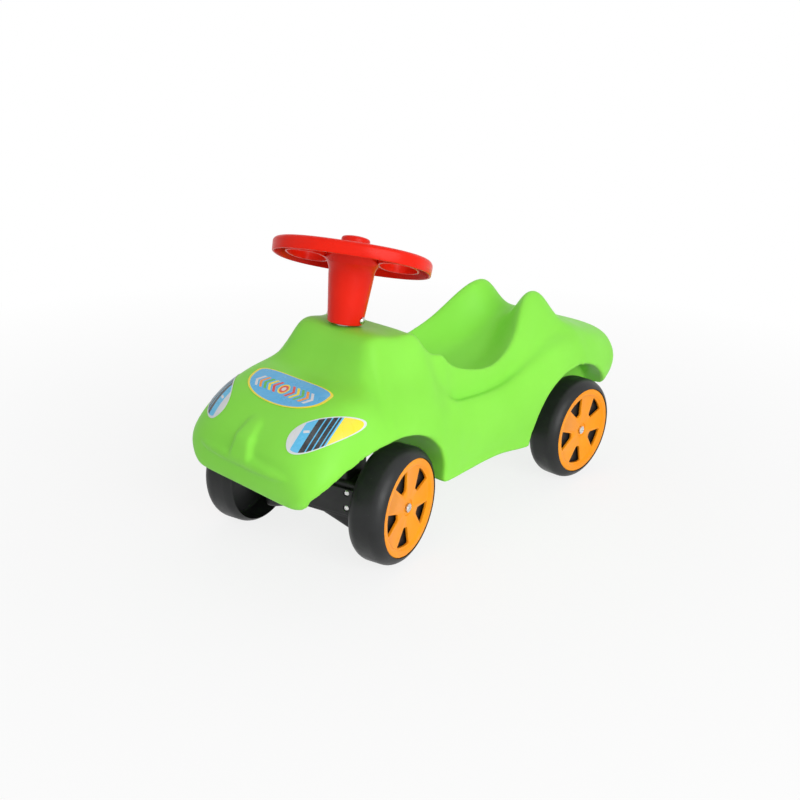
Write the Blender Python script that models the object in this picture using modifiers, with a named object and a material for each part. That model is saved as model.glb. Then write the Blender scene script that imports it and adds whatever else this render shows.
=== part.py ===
"""Kids ride-on car: hollow moulded body, raked steering, two steel axles and four free wheels.

Metres, +Z up, floor at Z = 0. The nose faces -Y and the car's own left side is +X.
The front wheels are modelled turned a little to the left, which is the rest pose.
"""
import math

import bmesh
import bpy
import numpy as np
from mathutils import Matrix, Vector

# Gaps
SEAT_GAP = 0.0003  # between pieces that touch
RUN_GAP = 0.0002  # round a shaft that turns
DECAL_GAP = 0.0009

# Wheels
WHEEL_R = 0.070
WHEEL_WIDTH = 0.048
SHOULDER_R = 0.016
TYRE_WALL = 0.005
WEB_THICK = 0.004
WEB_DEPTH = 0.010  # outer face of the tyre to the web
HUB_R = 0.011
HUB_END_DEPTH = 0.0088
HUB_LENGTH = 0.0412
CAP_R = 0.0585
CAP_RECESS = 0.0014
CAP_RING = 0.0075  # width of the raised ring round the spokes
CAP_SINK = 0.0026  # spokes' face below the ring
CAP_THICK = 0.003
CAP_DISH_R = 0.0095
CAP_DISH_DEPTH = 0.0014  # below the spokes' face
CAP_SKIRT = 0.0022
CAP_ROOM = 0.0005
CAP_EDGE = 0.0010
WINDOW_COUNT = 5
WINDOW_PHASE = math.radians(-12.0)
WINDOW_IN_R = 0.0235
WINDOW_OUT_R = 0.0455
WINDOW_IN_WIDTH = 0.008
WINDOW_OUT_WIDTH = 0.029
WINDOW_BULGE = 0.0015

# Axles and their place
AXLE_R = 0.004
AXLE_Y = 0.1886
REAR_TRACK = 0.2532  # over the tyres' outer faces
FRONT_TRACK = 0.2488
PUSH_CAP_R = 0.0055
PUSH_CAP_DOME = 0.0016
PUSH_CAP_DEPTH = 0.0022
PUSH_CAP_EYE = 0.0011
PUSH_CAP_BEND = 0.7  # share of the radius and of the dome where its top bends
SPACER_R = 0.0075
BUSH_WALL = 0.0026
BUSH_FLANGE = 0.002
BUSH_FLANGE_R = 0.0105
BUSH_LENGTH = 0.016

# Steering
STEER_RAKE = math.radians(9.0)
STEER_TURN = math.radians(13.4)  # wheels' rest pose, to the left
AXIS_Y = -0.1777  # where the steering axis passes the height of the axle
AXLE_LEAD = 0.0106
SHAFT_R = 0.004
SHAFT_FOOT = 0.034
SHAFT_STEP = 0.0014  # shaft's end above the column's hollow
WASHER_R = 0.009
WASHER_THICK = 0.0015
CLIP_R = 0.0065
CLIP_THICK = 0.0012
THRUST_THICK = 0.0021
DASH_TOP = 0.188  # above the axles, where the column stands
COLUMN_LIFT = 0.00226  # column's foot above that, along the axis
COLUMN_R = 0.0208
COLUMN_TOP_R = 0.0262
COLUMN_HEIGHT = 0.054
COLUMN_WALL = 0.003
SOCKET_R = 0.0085
FLARE_IN_R = 0.0295
FLARE_R = 0.036
FLARE_DROP = 0.010
COLUMN_SOLID = 0.100  # the column's blank runs up past the plate and is trimmed there
RIM_RISE = 0.0825  # column foot to the rim's middle plate, along the axis
RIM_TILT = math.radians(13.1)
RIM_TWIST = math.radians(24.0)  # the steering wheel sits turned on its shaft, as photographed
RIM_HALF_X = 0.091
RIM_HALF_Y = 0.086
RIM_POWER = 2.5
RIM_DEPTH = 0.0155
RIM_WALL = 0.003
RIM_LOWER_WALL = 0.0024
RIM_PLATE = 0.003
RIM_DRAFT = 0.0006
RIM_EDGE_R = 0.005
GRIP_X = 0.053
GRIP_HALF_X = 0.0215
GRIP_HALF_Y = 0.040
GRIP_POWER = 2.3
GRIP_LIP = 0.0022
GRIP_LIP_DROP = 0.0125
BOLT_R = 0.0020
BOLT_HEAD_R = 0.0044
BOLT_HEAD = 0.0030
BOLT_RISE = 0.0065
BOLT_CLEAR = 0.0010  # bolt head and nut off the column's cone

# Horn
HORN_R = 0.0166
HORN_PROUD = 0.016
HORN_WALL = 0.002
HORN_DEPTH = 0.025
HORN_TRAVEL = 0.003
HORN_POCKET = 0.020
HORN_CROWN = 0.0012
HORN_SHOULDER = 0.0066
HORN_EYE = 0.0013
SQUEAKER_R = 0.011
SQUEAKER_WAIST = 0.0088
SQUEAKER_HOLE = 0.0022
SQUEAKER_FOLDS = 3

# Front axle carrier
CARRIER_HALF = 0.0700
CARRIER_FRONT = 0.020
CARRIER_REAR = 0.016
CARRIER_UP = 0.022
CARRIER_DOWN = 0.026
CARRIER_EDGE = 0.004
TOWER_HALF = 0.048
TOWER_FOOT = 0.010  # above the axle, inside the beam
TOWER_UP = 0.060
TOWER_BACK = 0.0286
LUG_IN = 0.034
LUG_STEP = 0.001  # lugs inside the beam's faces
LUG_DOWN = 0.038
LUG_ROUND = 0.006
STEM_R = 0.014
STEM_PAD = 0.0022  # stem below the beam, square to the raked shaft
CLAMP_THICK = 0.004
CLAMP_HALF = 0.062
CLAMP_UP = 0.015
CLAMP_DOWN = 0.019
CLAMP_EDGE = 0.0012
SCREW_R = 0.0018
SCREW_HEAD_R = 0.0038
SCREW_HEAD = 0.0021
SCREW_BRIM = 0.6  # share of the head that stands upright, and of its radius that is flat
SCREW_LENGTH = 0.010
SCREW_X = 0.052
SCREW_Z = 0.0095
PIN_R = 0.002
PIN_DROP = 0.0155  # below the stem's top
PIN_PROUD = 0.0015

# Body
BODY_WALL = 0.004
SECTION_UNIT = 0.001  # of the numbers in the cross sections
ARCH_R = 0.100
ARCH_LEAD = 0.0026  # arch centre ahead of the axle
ARCH_DROP = 0.010  # and below it
LOBE_HALF = 0.068  # half width of the body between the rear wheels
TUNNEL_BEHIND = 0.0077  # peak of the arch behind the steering axis at axle height
TUNNEL_FOOT = 0.014  # start of the arch's curve above the axles
TUNNEL_RISE = 0.072
TUNNEL_FORE = 0.134
TUNNEL_NIP = 0.013  # the fore ellipse is cut off upright this far short of its end
TUNNEL_AFT = 0.0845
TUNNEL_LOW = 0.040  # reach of its cutter below the axles
ARCH_STEPS = 20
CUT_HALF = 0.150  # reach of the cutters that pass right through
BOSS_R = 0.014
BOSS_DEPTH = 0.014
NOSE_Y = -0.310
NOSE_RISE = 0.064  # its flat foot above the axles
NOSE_ROWS = (  # height above the foot, half width, front's set-back from the foot's
    (0.0, 0.0205, 0.0), (0.026, 0.0160, 0.008), (0.040, 0.0130, 0.021), (0.050, 0.0105, 0.037),
)
NOSE_DEPTH = 0.024
NOSE_ROUND = 0.004
BUMPER_Y = -0.3030
BUMPER_RISE = 0.0635  # above the axles
BUMPER_R = 0.0055
BUMPER_HALF = 0.076
BUMPER_ROUND = 0.0033
SEAT_ROOM = 0.0015
SEAT_SINK = 0.0008  # column's foot above the bush's flange

# Printed decals
DECAL_THICK = 0.0004
DECAL_RINGS = 4
DECAL_LIFT = 0.050  # start of the wrap, outside the body
LAMP_X = 0.091
LAMP_Y = -0.262
LAMP_RISE = 0.109  # above the axles
LAMP_OUT = 0.95
LAMP_UP = 0.9
LAMP_HALF_X = 0.042
LAMP_HALF_Z = 0.0175
LAMP_POWER = 2.2
PLATE_Y = -0.238
PLATE_RISE = 0.134  # above the axles
PLATE_LEAN = 0.35
PLATE_HALF_X = 0.063
PLATE_HALF_Y = 0.024
PLATE_POWER = 3.2

CAGE_ROUNDS = 4
SEGMENTS = 24

# Worked out: the arch along Y, then places along the steering axis from axle height
TUNNEL_PEAK_Y = AXIS_Y + TUNNEL_BEHIND
TUNNEL_FRONT_Y = TUNNEL_PEAK_Y - TUNNEL_FORE + TUNNEL_NIP
COLUMN_FOOT = DASH_TOP / math.cos(STEER_RAKE) + COLUMN_LIFT
DASH_SEAT_T = COLUMN_FOOT - SEAT_SINK - BUSH_FLANGE - SEAT_GAP
SHAFT_TOP = COLUMN_FOOT + COLUMN_HEIGHT + SHAFT_STEP
TUNNEL_SEAT_T = (TUNNEL_FOOT + TUNNEL_RISE) / math.cos(STEER_RAKE) + SEAT_GAP
STEM_TOP = TUNNEL_SEAT_T - SEAT_GAP - BUSH_FLANGE - THRUST_THICK - 2 * SEAT_GAP
PIN_T = STEM_TOP - PIN_DROP


def remove_startup_objects():
    for obj in list(bpy.data.objects):
        bpy.data.objects.remove(obj, do_unlink=True)


def new_collection(name):
    group = bpy.data.collections.new(name)
    bpy.context.scene.collection.children.link(group)
    return group


def plastic(name, colour, roughness, metallic=0.0):
    made = bpy.data.materials.new(name)
    made.use_nodes = True
    shader = made.node_tree.nodes["Principled BSDF"]
    shader.inputs["Base Color"].default_value = (*colour, 1.0)
    shader.inputs["Roughness"].default_value = roughness
    shader.inputs["Metallic"].default_value = metallic
    return made


def add_object(name, mesh, group, material=None, matrix=None):
    obj = bpy.data.objects.new(name, mesh)
    group.objects.link(obj)
    if material:
        mesh.materials.append(material)
    if matrix is not None:
        obj.matrix_world = matrix
    return obj


def add_cutter(name, mesh, matrix=None):
    obj = add_object(name, mesh, cutters, None, matrix)
    obj.hide_render = True
    obj.display_type = "WIRE"
    return obj


def boolean(obj, other, operation="DIFFERENCE"):
    modifier = obj.modifiers.new(other.name, "BOOLEAN")
    modifier.object = other
    modifier.operation = operation
    modifier.solver = "EXACT"


def bevel(obj, width, segments=2, angle=math.radians(40)):
    modifier = obj.modifiers.new("edge", "BEVEL")
    modifier.width = width
    modifier.segments = segments
    modifier.limit_method = "ANGLE"
    modifier.angle_limit = angle


def soften(mesh, angle=math.radians(35)):
    mesh.shade_smooth()
    mesh.set_sharp_from_angle(angle=angle)


def box_mesh(name, low, high):
    low = Vector(low)
    high = Vector(high)
    bm = bmesh.new()
    bmesh.ops.create_cube(bm, size=1.0)
    size = high - low
    bmesh.ops.scale(bm, vec=size, verts=bm.verts)
    bmesh.ops.translate(bm, vec=(low + high) / 2, verts=bm.verts)
    return finish_mesh(bm, name)


def rod_mesh(name, radius, low, high, top_radius=None, segments=SEGMENTS):
    """Cylinder or cone along Z from low to high."""
    bm = bmesh.new()
    top = radius if top_radius is None else top_radius
    bmesh.ops.create_cone(
        bm, cap_ends=True, segments=segments, radius1=radius, radius2=top, depth=high - low
    )
    half_step = Matrix.Rotation(math.pi / segments, 4, "Z")
    bmesh.ops.transform(bm, matrix=Matrix.Translation((0, 0, (low + high) / 2)) @ half_step, verts=bm.verts)
    return finish_mesh(bm, name)


def finish_mesh(bm, name):
    bmesh.ops.recalc_face_normals(bm, faces=bm.faces)
    mesh = bpy.data.meshes.new(name)
    bm.to_mesh(mesh)
    bm.free()
    return mesh


def turned(name, profile, group, material=None, matrix=None, segments=SEGMENTS, closed=True):
    """Ring or turned solid about Z from (radius, height) points, outer side running downwards."""
    bm = bmesh.new()
    verts = [bm.verts.new((radius, 0, height)) for radius, height in profile]
    for start, end in zip(verts, verts[1:]):
        bm.edges.new((start, end))
    if closed:
        bm.edges.new((verts[-1], verts[0]))
    mesh = bpy.data.meshes.new(name)
    bm.to_mesh(mesh)
    bm.free()
    obj = add_object(name, mesh, group, material, matrix)
    screw = obj.modifiers.new("turn", "SCREW")
    screw.steps = segments
    screw.render_steps = segments
    screw.use_merge_vertices = True
    screw.merge_threshold = 0.00001
    screw.use_smooth_shade = True
    return obj


def arc(centre_r, centre_z, radius, start, end, steps):
    """Profile points on an arc, angles in degrees from the +radius direction."""
    points = []
    for i in range(steps + 1):
        angle = math.radians(start + (end - start) * i / steps)
        points.append((centre_r + radius * math.cos(angle), centre_z + radius * math.sin(angle)))
    return points


def ring(name, inner, outer, low, high, group, material=None, matrix=None, segments=SEGMENTS):
    profile = [(inner, high), (outer, high), (outer, low), (inner, low)]
    return turned(name, profile, group, material, matrix, segments)


# Frames of the moving pieces

STEER_DIRECTION = Vector((0, math.sin(STEER_RAKE), math.cos(STEER_RAKE)))
AXIS_POINT = Vector((0, AXIS_Y, WHEEL_R))


def steer_frame(height=0.0):
    """Z runs up the steering axis from axle height, X points to the left front wheel."""
    rake = Matrix.Rotation(-STEER_RAKE, 4, "X")
    turn = Matrix.Rotation(STEER_TURN, 4, "Z")
    return Matrix.Translation(AXIS_POINT + STEER_DIRECTION * height) @ rake @ turn


def front_axle_frame():
    """Origin at the middle of the front axle, X along the axle, Z up."""
    turn = Matrix.Rotation(STEER_TURN, 4, "Z")
    return Matrix.Translation(AXIS_POINT) @ turn @ Matrix.Translation((0, -AXLE_LEAD, 0))


def rear_axle_frame():
    return Matrix.Translation((0, AXLE_Y, WHEEL_R))


def outward(side):
    """Turns local Z to the car's left for side 1 and to its right for side -1."""
    return Matrix.Rotation(math.radians(90) * side, 4, "Y")


# Body form: half sections along Y in millimetres, heights above the axles.
# Each runs from the top centre line over crest, groove and shoulder to the sill and the belly centre.
DASH = DASH_TOP / SECTION_UNIT
SECTIONS = [
    (-303, [(0, 73), (30, 73), (54, 71), (70, 66), (79, 59), (84, 52),
          (85, 45), (84, 40), (81, 35), (76, 32), (60, 31), (0, 31)]),
    (-296, [(0, 88), (34, 88), (60, 85), (80, 78), (92, 69), (98, 60),
          (99, 51), (96, 42), (91, 35), (83, 30.5), (64, 29), (0, 29)]),
    (-284, [(0, 102), (36, 102), (66, 99), (88, 90), (101, 79), (108, 68),
          (109, 57), (106, 45), (100, 35), (92, 29), (72, 27.5), (0, 27.5)]),
    (-266, [(0, 117), (38, 117), (71, 114), (92, 104), (105, 91), (112, 78),
          (114, 64), (111, 48), (106, 34), (99, 27), (78, 25.5), (0, 25.5)]),
    (-244, [(0, 129), (40, 129), (75, 125), (96, 114), (108, 99), (114, 83),
          (116, 67), (113, 48), (109, 33), (105, 24.5), (84, 22.5), (0, 22.5)]),
    (-220, [(0, 138), (42, 138), (78, 133), (98, 120), (110, 104), (115, 87),
          (116, 69), (114, 47), (111, 30), (107, 21), (88, 19), (0, 19)]),
    (-198, [(0, 143), (44, 143), (78, 138), (99, 125), (111, 108), (116, 89),
          (117, 70), (115, 45), (112, 26), (109, 18), (90, 16), (0, 16)]),
    (-180, [(0, DASH - 24), (42, DASH - 24), (62, DASH - 30), (78, DASH - 44), (98, 126), (111, 107),
          (117, 85), (117, 58), (114, 30), (110, 17), (92, 14), (0, 14)]),
    (-163, [(0, DASH), (39, DASH), (56, DASH - 3), (66, DASH - 14), (86, 140), (100, 123),
          (112, 102), (117, 75), (115, 35), (110, 15), (94, 12), (0, 12)]),
    (-130, [(0, DASH - 3), (40, DASH - 3), (57, DASH - 5), (68, DASH - 14), (85, 141), (99, 123),
          (110, 102), (116, 75), (114, 34), (110, 11), (94, 7), (0, 7)]),
    (-104, [(0, DASH - 5), (40, DASH - 5), (58, DASH - 6), (69, DASH - 10), (85, 142), (98, 120),
          (109, 98), (114, 72), (113, 32), (110, 8), (94, 4), (0, 4)]),
    (-90, [(0, DASH - 22), (38, DASH - 21), (58, DASH - 19), (71, DASH - 22), (85, 138), (97, 115),
          (107, 94), (113, 68), (112, 30), (110, 7), (94, 3), (0, 3)]),
    (-76, [(0, 132), (36, 133), (62, 148), (75, 152), (86, 124), (96, 106),
          (105, 90), (112, 65), (111, 29), (109, 7), (94, 2), (0, 2)]),
    (-60, [(0, 109), (34, 111), (65, 139), (78, 148), (88, 108), (97, 100),
          (105, 86), (111, 62), (111, 29), (109, 8), (94, 2), (0, 2)]),
    (-40, [(0, 100), (34, 102), (70, 126), (80, 129), (88, 99), (97, 95),
          (105, 82), (110, 60), (110, 28), (108, 10), (94, 2), (0, 2)]),
    (15, [(0, 94), (36, 96), (73, 114), (82, 115), (88, 96), (98, 92),
          (106, 78), (110, 55), (110, 30), (108, 14), (94, 4), (0, 2)]),
    (55, [(0, 99), (34, 101), (70, 120), (80, 121), (87, 102), (98, 97),
          (106, 81), (111, 57), (111, 30), (109, 9), (94, 2), (0, 0)]),
    (92, [(0, 111), (29, 114), (60, 138), (73, 138), (86, 116), (98, 107),
          (107, 87), (112, 61), (112, 30), (110, 6), (94, -2), (0, -4)]),
    (124, [(0, 129), (21, 136), (45, 167), (61, 165), (81, 130), (98, 116),
          (108, 94), (113, 65), (113, 30), (110, 6), (80, -12), (0, -13)]),
    (150, [(0, 144), (17, 153), (37, 180), (53, 179), (78, 139), (98, 122),
          (109, 99), (114, 69), (113, 30), (110, 6), (72, -18), (0, -20)]),
    (176, [(0, 152), (17, 157), (37, 176), (54, 173), (78, 140), (98, 123),
          (109, 100), (114, 71), (113, 30), (110, 6), (72, -18), (0, -20)]),
    (199, [(0, 147), (24, 148), (42, 152), (56, 148), (80, 138), (98, 122),
          (108, 102), (113, 73), (112, 32), (109, 8), (72, -16), (0, -20)]),
    (216, [(0, 142), (27, 142), (46, 142), (61, 140), (83, 132), (98, 118),
          (107, 99), (111, 73), (110, 38), (107, 17), (76, -2), (0, -5)]),
    (240, [(0, 133), (30, 133), (50, 132), (66, 130), (84, 125), (98, 113),
          (105, 97), (109, 73), (108, 45), (104, 28), (80, 14), (0, 10)]),
    (275, [(0, 124), (30, 124), (50, 123), (66, 121), (83, 115), (95, 104),
          (102, 89), (105, 72), (103, 55), (96, 44), (76, 40), (0, 40)]),
    (295, [(0, 117), (30, 117), (50, 116), (67, 113), (81, 107), (91, 97),
          (97, 85), (98, 73), (95, 61), (88, 50), (66, 45), (0, 45)]),
    (307, [(0, 108), (27, 108), (45, 107), (59, 105), (70, 100), (78, 93),
          (82, 84), (83, 74), (81, 63), (74, 55), (54, 51), (0, 51)]),
]


def smooth_cage(points):
    """Cage whose subdivided surface passes close to the points: rows along Y, columns round the side."""
    target = np.array(points)
    cage = target.copy()
    for _ in range(CAGE_ROUNDS):
        left = cage[:, 1:2] * (-1, 1, 1)
        right = cage[:, -2:-1] * (-1, 1, 1)
        wide = np.concatenate((left, cage, right), axis=1)
        along = wide[1:-1] * 4 + wide[:-2] + wide[2:]
        surface = (along[:, 1:-1] * 4 + along[:, :-2] + along[:, 2:]) / 36
        cage[1:-1] += target[1:-1] - surface
        cage[:, (0, -1), 0] = 0
    return cage


def body_cage(name, smooth=True):
    """Left half of the body's cage, open at the middle plane."""
    points = []
    for y, section in SECTIONS:
        row = [Vector((x, y, z)) * SECTION_UNIT for x, z in section]
        points.append([point + Vector((0, 0, WHEEL_R)) for point in row])
    cage = smooth_cage(points) if smooth else np.array(points)
    bm = bmesh.new()
    rows = [[bm.verts.new(point) for point in row] for row in cage]
    for front, back in zip(rows, rows[1:]):
        for i in range(len(front) - 1):
            bm.faces.new((front[i], front[i + 1], back[i + 1], back[i]))
    bm.faces.new(list(reversed(rows[0])))
    bm.faces.new(rows[-1])
    mesh = bpy.data.meshes.new(name)
    bm.to_mesh(mesh)
    bm.free()
    mesh.shade_smooth()
    return mesh


def mirror_body(obj):
    mirror = obj.modifiers.new("mirror", "MIRROR")
    mirror.use_clip = True
    mirror.merge_threshold = 0.0001


def smooth_body(obj):
    surface = obj.modifiers.new("surface", "SUBSURF")
    surface.levels = 1
    surface.render_levels = 1


def prism(name, outline, low, high):
    """Straight prism along Z over a closed outline of (x, y) points."""
    bm = bmesh.new()
    base = [bm.verts.new((x, y, low)) for x, y in outline]
    face = bm.faces.new(base)
    grown = bmesh.ops.extrude_face_region(bm, geom=[face])["geom"]
    top = [item for item in grown if isinstance(item, bmesh.types.BMVert)]
    bmesh.ops.translate(bm, vec=(0, 0, high - low), verts=top)
    return finish_mesh(bm, name)


def oval(half_x, half_y, power, count, centre_x=0.0):
    """Rounded outline between an ellipse (power 2) and a rectangle."""
    points = []
    for i in range(count):
        angle = 2 * math.pi * i / count
        c = math.cos(angle)
        s = math.sin(angle)
        x = math.copysign(abs(c) ** (2 / power), c) * half_x
        y = math.copysign(abs(s) ** (2 / power), s) * half_y
        points.append((centre_x + x, y))
    return points


def merged(name, meshes):
    """One mesh from several closed ones that don't touch."""
    bm = bmesh.new()
    for mesh in meshes:
        bm.from_mesh(mesh)
        bpy.data.meshes.remove(mesh)
    return finish_mesh(bm, name)


def moved(mesh, matrix):
    mesh.transform(matrix)
    return mesh


def lofted(name, loops):
    """Closed skin over a row of loops with as many points each, capped at both ends."""
    bm = bmesh.new()
    rows = [[bm.verts.new(point) for point in loop] for loop in loops]
    for outer, inner in zip(rows, rows[1:]):
        for i in range(len(outer)):
            j = (i + 1) % len(outer)
            bm.faces.new((outer[i], outer[j], inner[j], inner[i]))
    bm.faces.new(rows[0])
    bm.faces.new(rows[-1])
    return finish_mesh(bm, name)


def spindle(name, profile, segments=SEGMENTS):
    """Solid turned piece about Z from (radius, height) points."""
    loops = []
    for radius, height in profile:
        steps = [2 * math.pi * (i + 0.5) / segments for i in range(segments)]
        loops.append([(radius * math.cos(a), radius * math.sin(a), height) for a in steps])
    return lofted(name, loops)


def across(mesh):
    """Turns a mesh made along Z to lie along X."""
    return moved(mesh, Matrix.Rotation(math.radians(90), 4, "Y"))


# Body


def tunnel_outline(grow=0.0):
    """Side view of the front wheel arch: two quarter ellipses, cut off upright ahead of the wheels."""
    front = TUNNEL_FRONT_Y - grow
    low = WHEEL_R - TUNNEL_LOW
    foot = WHEEL_R + TUNNEL_FOOT
    rise = TUNNEL_RISE + grow
    ratio = (TUNNEL_PEAK_Y - front) / (TUNNEL_FORE + grow)
    points = [(front, low), (front, foot + rise * math.sqrt(1 - ratio * ratio))]
    for i in range(ARCH_STEPS + 1):
        angle = math.pi * (1 - i / ARCH_STEPS)
        reach = TUNNEL_FORE if math.cos(angle) < 0 else TUNNEL_AFT
        y = TUNNEL_PEAK_Y + (reach + grow) * math.cos(angle)
        if y > front:
            points.append((y, foot + rise * math.sin(angle)))
    points.append((TUNNEL_PEAK_Y + TUNNEL_AFT + grow, low))
    return points


def tunnel_mesh(name, grow=0.0):
    mesh = prism(name, tunnel_outline(grow), -CUT_HALF, CUT_HALF)
    turn = Matrix(((0, 0, 1, 0), (1, 0, 0, 0), (0, 1, 0, 0), (0, 0, 0, 1)))
    return moved(mesh, turn)


def wells_mesh(name, grow=0.0):
    """Rear wheel wells on both sides of the body's middle lobe."""
    wells = []
    for side in (-1, 1):
        well = across(rod_mesh(name, ARCH_R + grow, LOBE_HALF - grow, CUT_HALF, segments=40))
        if side < 0:
            moved(well, Matrix.Rotation(math.radians(180), 4, "Z"))
        moved(well, Matrix.Translation((0, AXLE_Y - ARCH_LEAD, WHEEL_R - ARCH_DROP)))
        wells.append(well)
    return merged(name, wells)


def rear_rod(name, radius, low, high, side):
    rod = rod_mesh(name, radius, low, high)
    return moved(rod, rear_axle_frame() @ outward(side))


def steer_rod(name, radius, low, high):
    return moved(rod_mesh(name, radius, low, high), steer_frame())


def make_body():
    green = plastic("body_green", (0.30, 0.95, 0.10), 0.45)
    skin = add_cutter("skin", body_cage("skin"))
    mirror_body(skin)
    smooth_body(skin)
    body = add_object("body_shell", body_cage("body_shell"), model, green)
    mirror_body(body)
    smooth_body(body)
    loops = []
    for height, half, set_back in NOSE_ROWS:
        front = NOSE_Y + set_back
        back = front + NOSE_DEPTH
        corners = [(-half, front), (half, front), (half, back), (-half, back)]
        loops.append([(x, y, height) for x, y in corners])
    nose = add_cutter("nose", lofted("nose", loops), Matrix.Translation((0, 0, WHEEL_R + NOSE_RISE)))
    bevel(nose, NOSE_ROUND)
    boolean(body, nose, "UNION")
    ridge = across(rod_mesh("bumper", BUMPER_R, -BUMPER_HALF, BUMPER_HALF, segments=14))
    bumper = add_cutter("bumper", ridge, Matrix.Translation((0, BUMPER_Y, WHEEL_R + BUMPER_RISE)))
    bevel(bumper, BUMPER_ROUND)
    boolean(body, bumper, "UNION")

    cavity = add_cutter("cavity", body_cage("cavity", smooth=False))
    mirror_body(cavity)
    inward = cavity.modifiers.new("wall", "DISPLACE")
    inward.strength = -BODY_WALL
    inward.mid_level = 0
    boolean(cavity, add_cutter("tunnel_wall", tunnel_mesh("tunnel_wall", BODY_WALL)))
    boolean(cavity, add_cutter("well_walls", wells_mesh("well_walls", BODY_WALL)))
    upper = steer_rod("upper_boss", BOSS_R, DASH_SEAT_T - BOSS_DEPTH, DASH_SEAT_T + BOSS_R)
    lower = steer_rod("lower_boss", BOSS_R, TUNNEL_SEAT_T - BOSS_R, TUNNEL_SEAT_T + BOSS_DEPTH)
    bosses = [upper, lower]
    for side in (-1, 1):
        inner = LOBE_HALF - BODY_WALL - BOSS_DEPTH
        bosses.append(rear_rod("axle_boss", BOSS_R, inner, LOBE_HALF + BODY_WALL, side))
    boolean(cavity, add_cutter("bosses", merged("bosses", bosses)))
    boolean(body, cavity)

    boolean(body, add_cutter("tunnel", tunnel_mesh("tunnel")))
    bush_bore = SHAFT_R + RUN_GAP + BUSH_WALL + SEAT_GAP
    spot_r = BOSS_R + SEAT_GAP
    foot_seat = COLUMN_FOOT - SEAT_SINK
    steps = [
        (spot_r, TUNNEL_SEAT_T - 2 * BOSS_R), (spot_r, TUNNEL_SEAT_T), (bush_bore, TUNNEL_SEAT_T),
        (bush_bore, DASH_SEAT_T), (BUSH_FLANGE_R + SEAT_ROOM, DASH_SEAT_T),
        (BUSH_FLANGE_R + SEAT_ROOM, foot_seat), (COLUMN_R + SEAT_ROOM, foot_seat),
        (COLUMN_R + SEAT_ROOM, COLUMN_FOOT + COLUMN_HEIGHT),
    ]
    boolean(body, add_cutter("shaft_seats", spindle("shaft_seats", steps), steer_frame()))
    boolean(body, add_cutter("wells", wells_mesh("wells")))
    axle_bore = AXLE_R + RUN_GAP + BUSH_WALL + SEAT_GAP
    boolean(body, add_cutter("axle_bore", rear_rod("axle_bore", axle_bore, -CUT_HALF, CUT_HALF, 1)))
    return skin


# Steering shaft, its bushes and what it carries


def turned_on_axis(name, profile, material, height, segments=16):
    return turned(name, profile, model, material, steer_frame(height), segments)


def make_shaft(steel, white):
    shaft_mesh = rod_mesh("steering_shaft", SHAFT_R, -SHAFT_FOOT, SHAFT_TOP, segments=16)
    soften(shaft_mesh)
    shaft = add_object("steering_shaft", shaft_mesh, model, steel, steer_frame())
    bolt_bore = across(rod_mesh("bolt_bore", BOLT_R + RUN_GAP, -CUT_HALF, CUT_HALF, segments=12))
    bolt_frame = steer_frame(COLUMN_FOOT + BOLT_RISE)
    boolean(shaft, add_cutter("bolt_bore", bolt_bore, bolt_frame))
    pin_bore = across(rod_mesh("pin_bore", PIN_R + RUN_GAP, -CUT_HALF, CUT_HALF, segments=12))
    boolean(shaft, add_cutter("pin_bore", pin_bore, steer_frame(PIN_T)))

    bore = SHAFT_R + RUN_GAP
    sleeve = bore + BUSH_WALL
    thick = BUSH_FLANGE
    profile = [
        (bore, thick), (BUSH_FLANGE_R, thick), (BUSH_FLANGE_R, 0), (sleeve, 0),
        (sleeve, SEAT_GAP - BOSS_DEPTH), (bore, SEAT_GAP - BOSS_DEPTH),
    ]
    turned_on_axis("shaft_upper_bush", profile, white, DASH_SEAT_T + SEAT_GAP)
    under = [(radius, -height) for radius, height in reversed(profile)]
    turned_on_axis("shaft_lower_bush", under, white, TUNNEL_SEAT_T - SEAT_GAP)

    washer_place = steer_frame(STEM_TOP + SEAT_GAP)
    ring("thrust_washer", bore, WASHER_R, 0, THRUST_THICK, model, steel, washer_place, 20)
    foot = -CARRIER_DOWN - STEM_PAD - SEAT_GAP
    ring("shaft_washer", bore, WASHER_R, -WASHER_THICK, 0, model, steel, steer_frame(foot), 20)
    clip_top = foot - WASHER_THICK - SEAT_GAP
    ring("shaft_clip", bore, CLIP_R, -CLIP_THICK, 0, model, steel, steer_frame(clip_top), 16)


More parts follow.
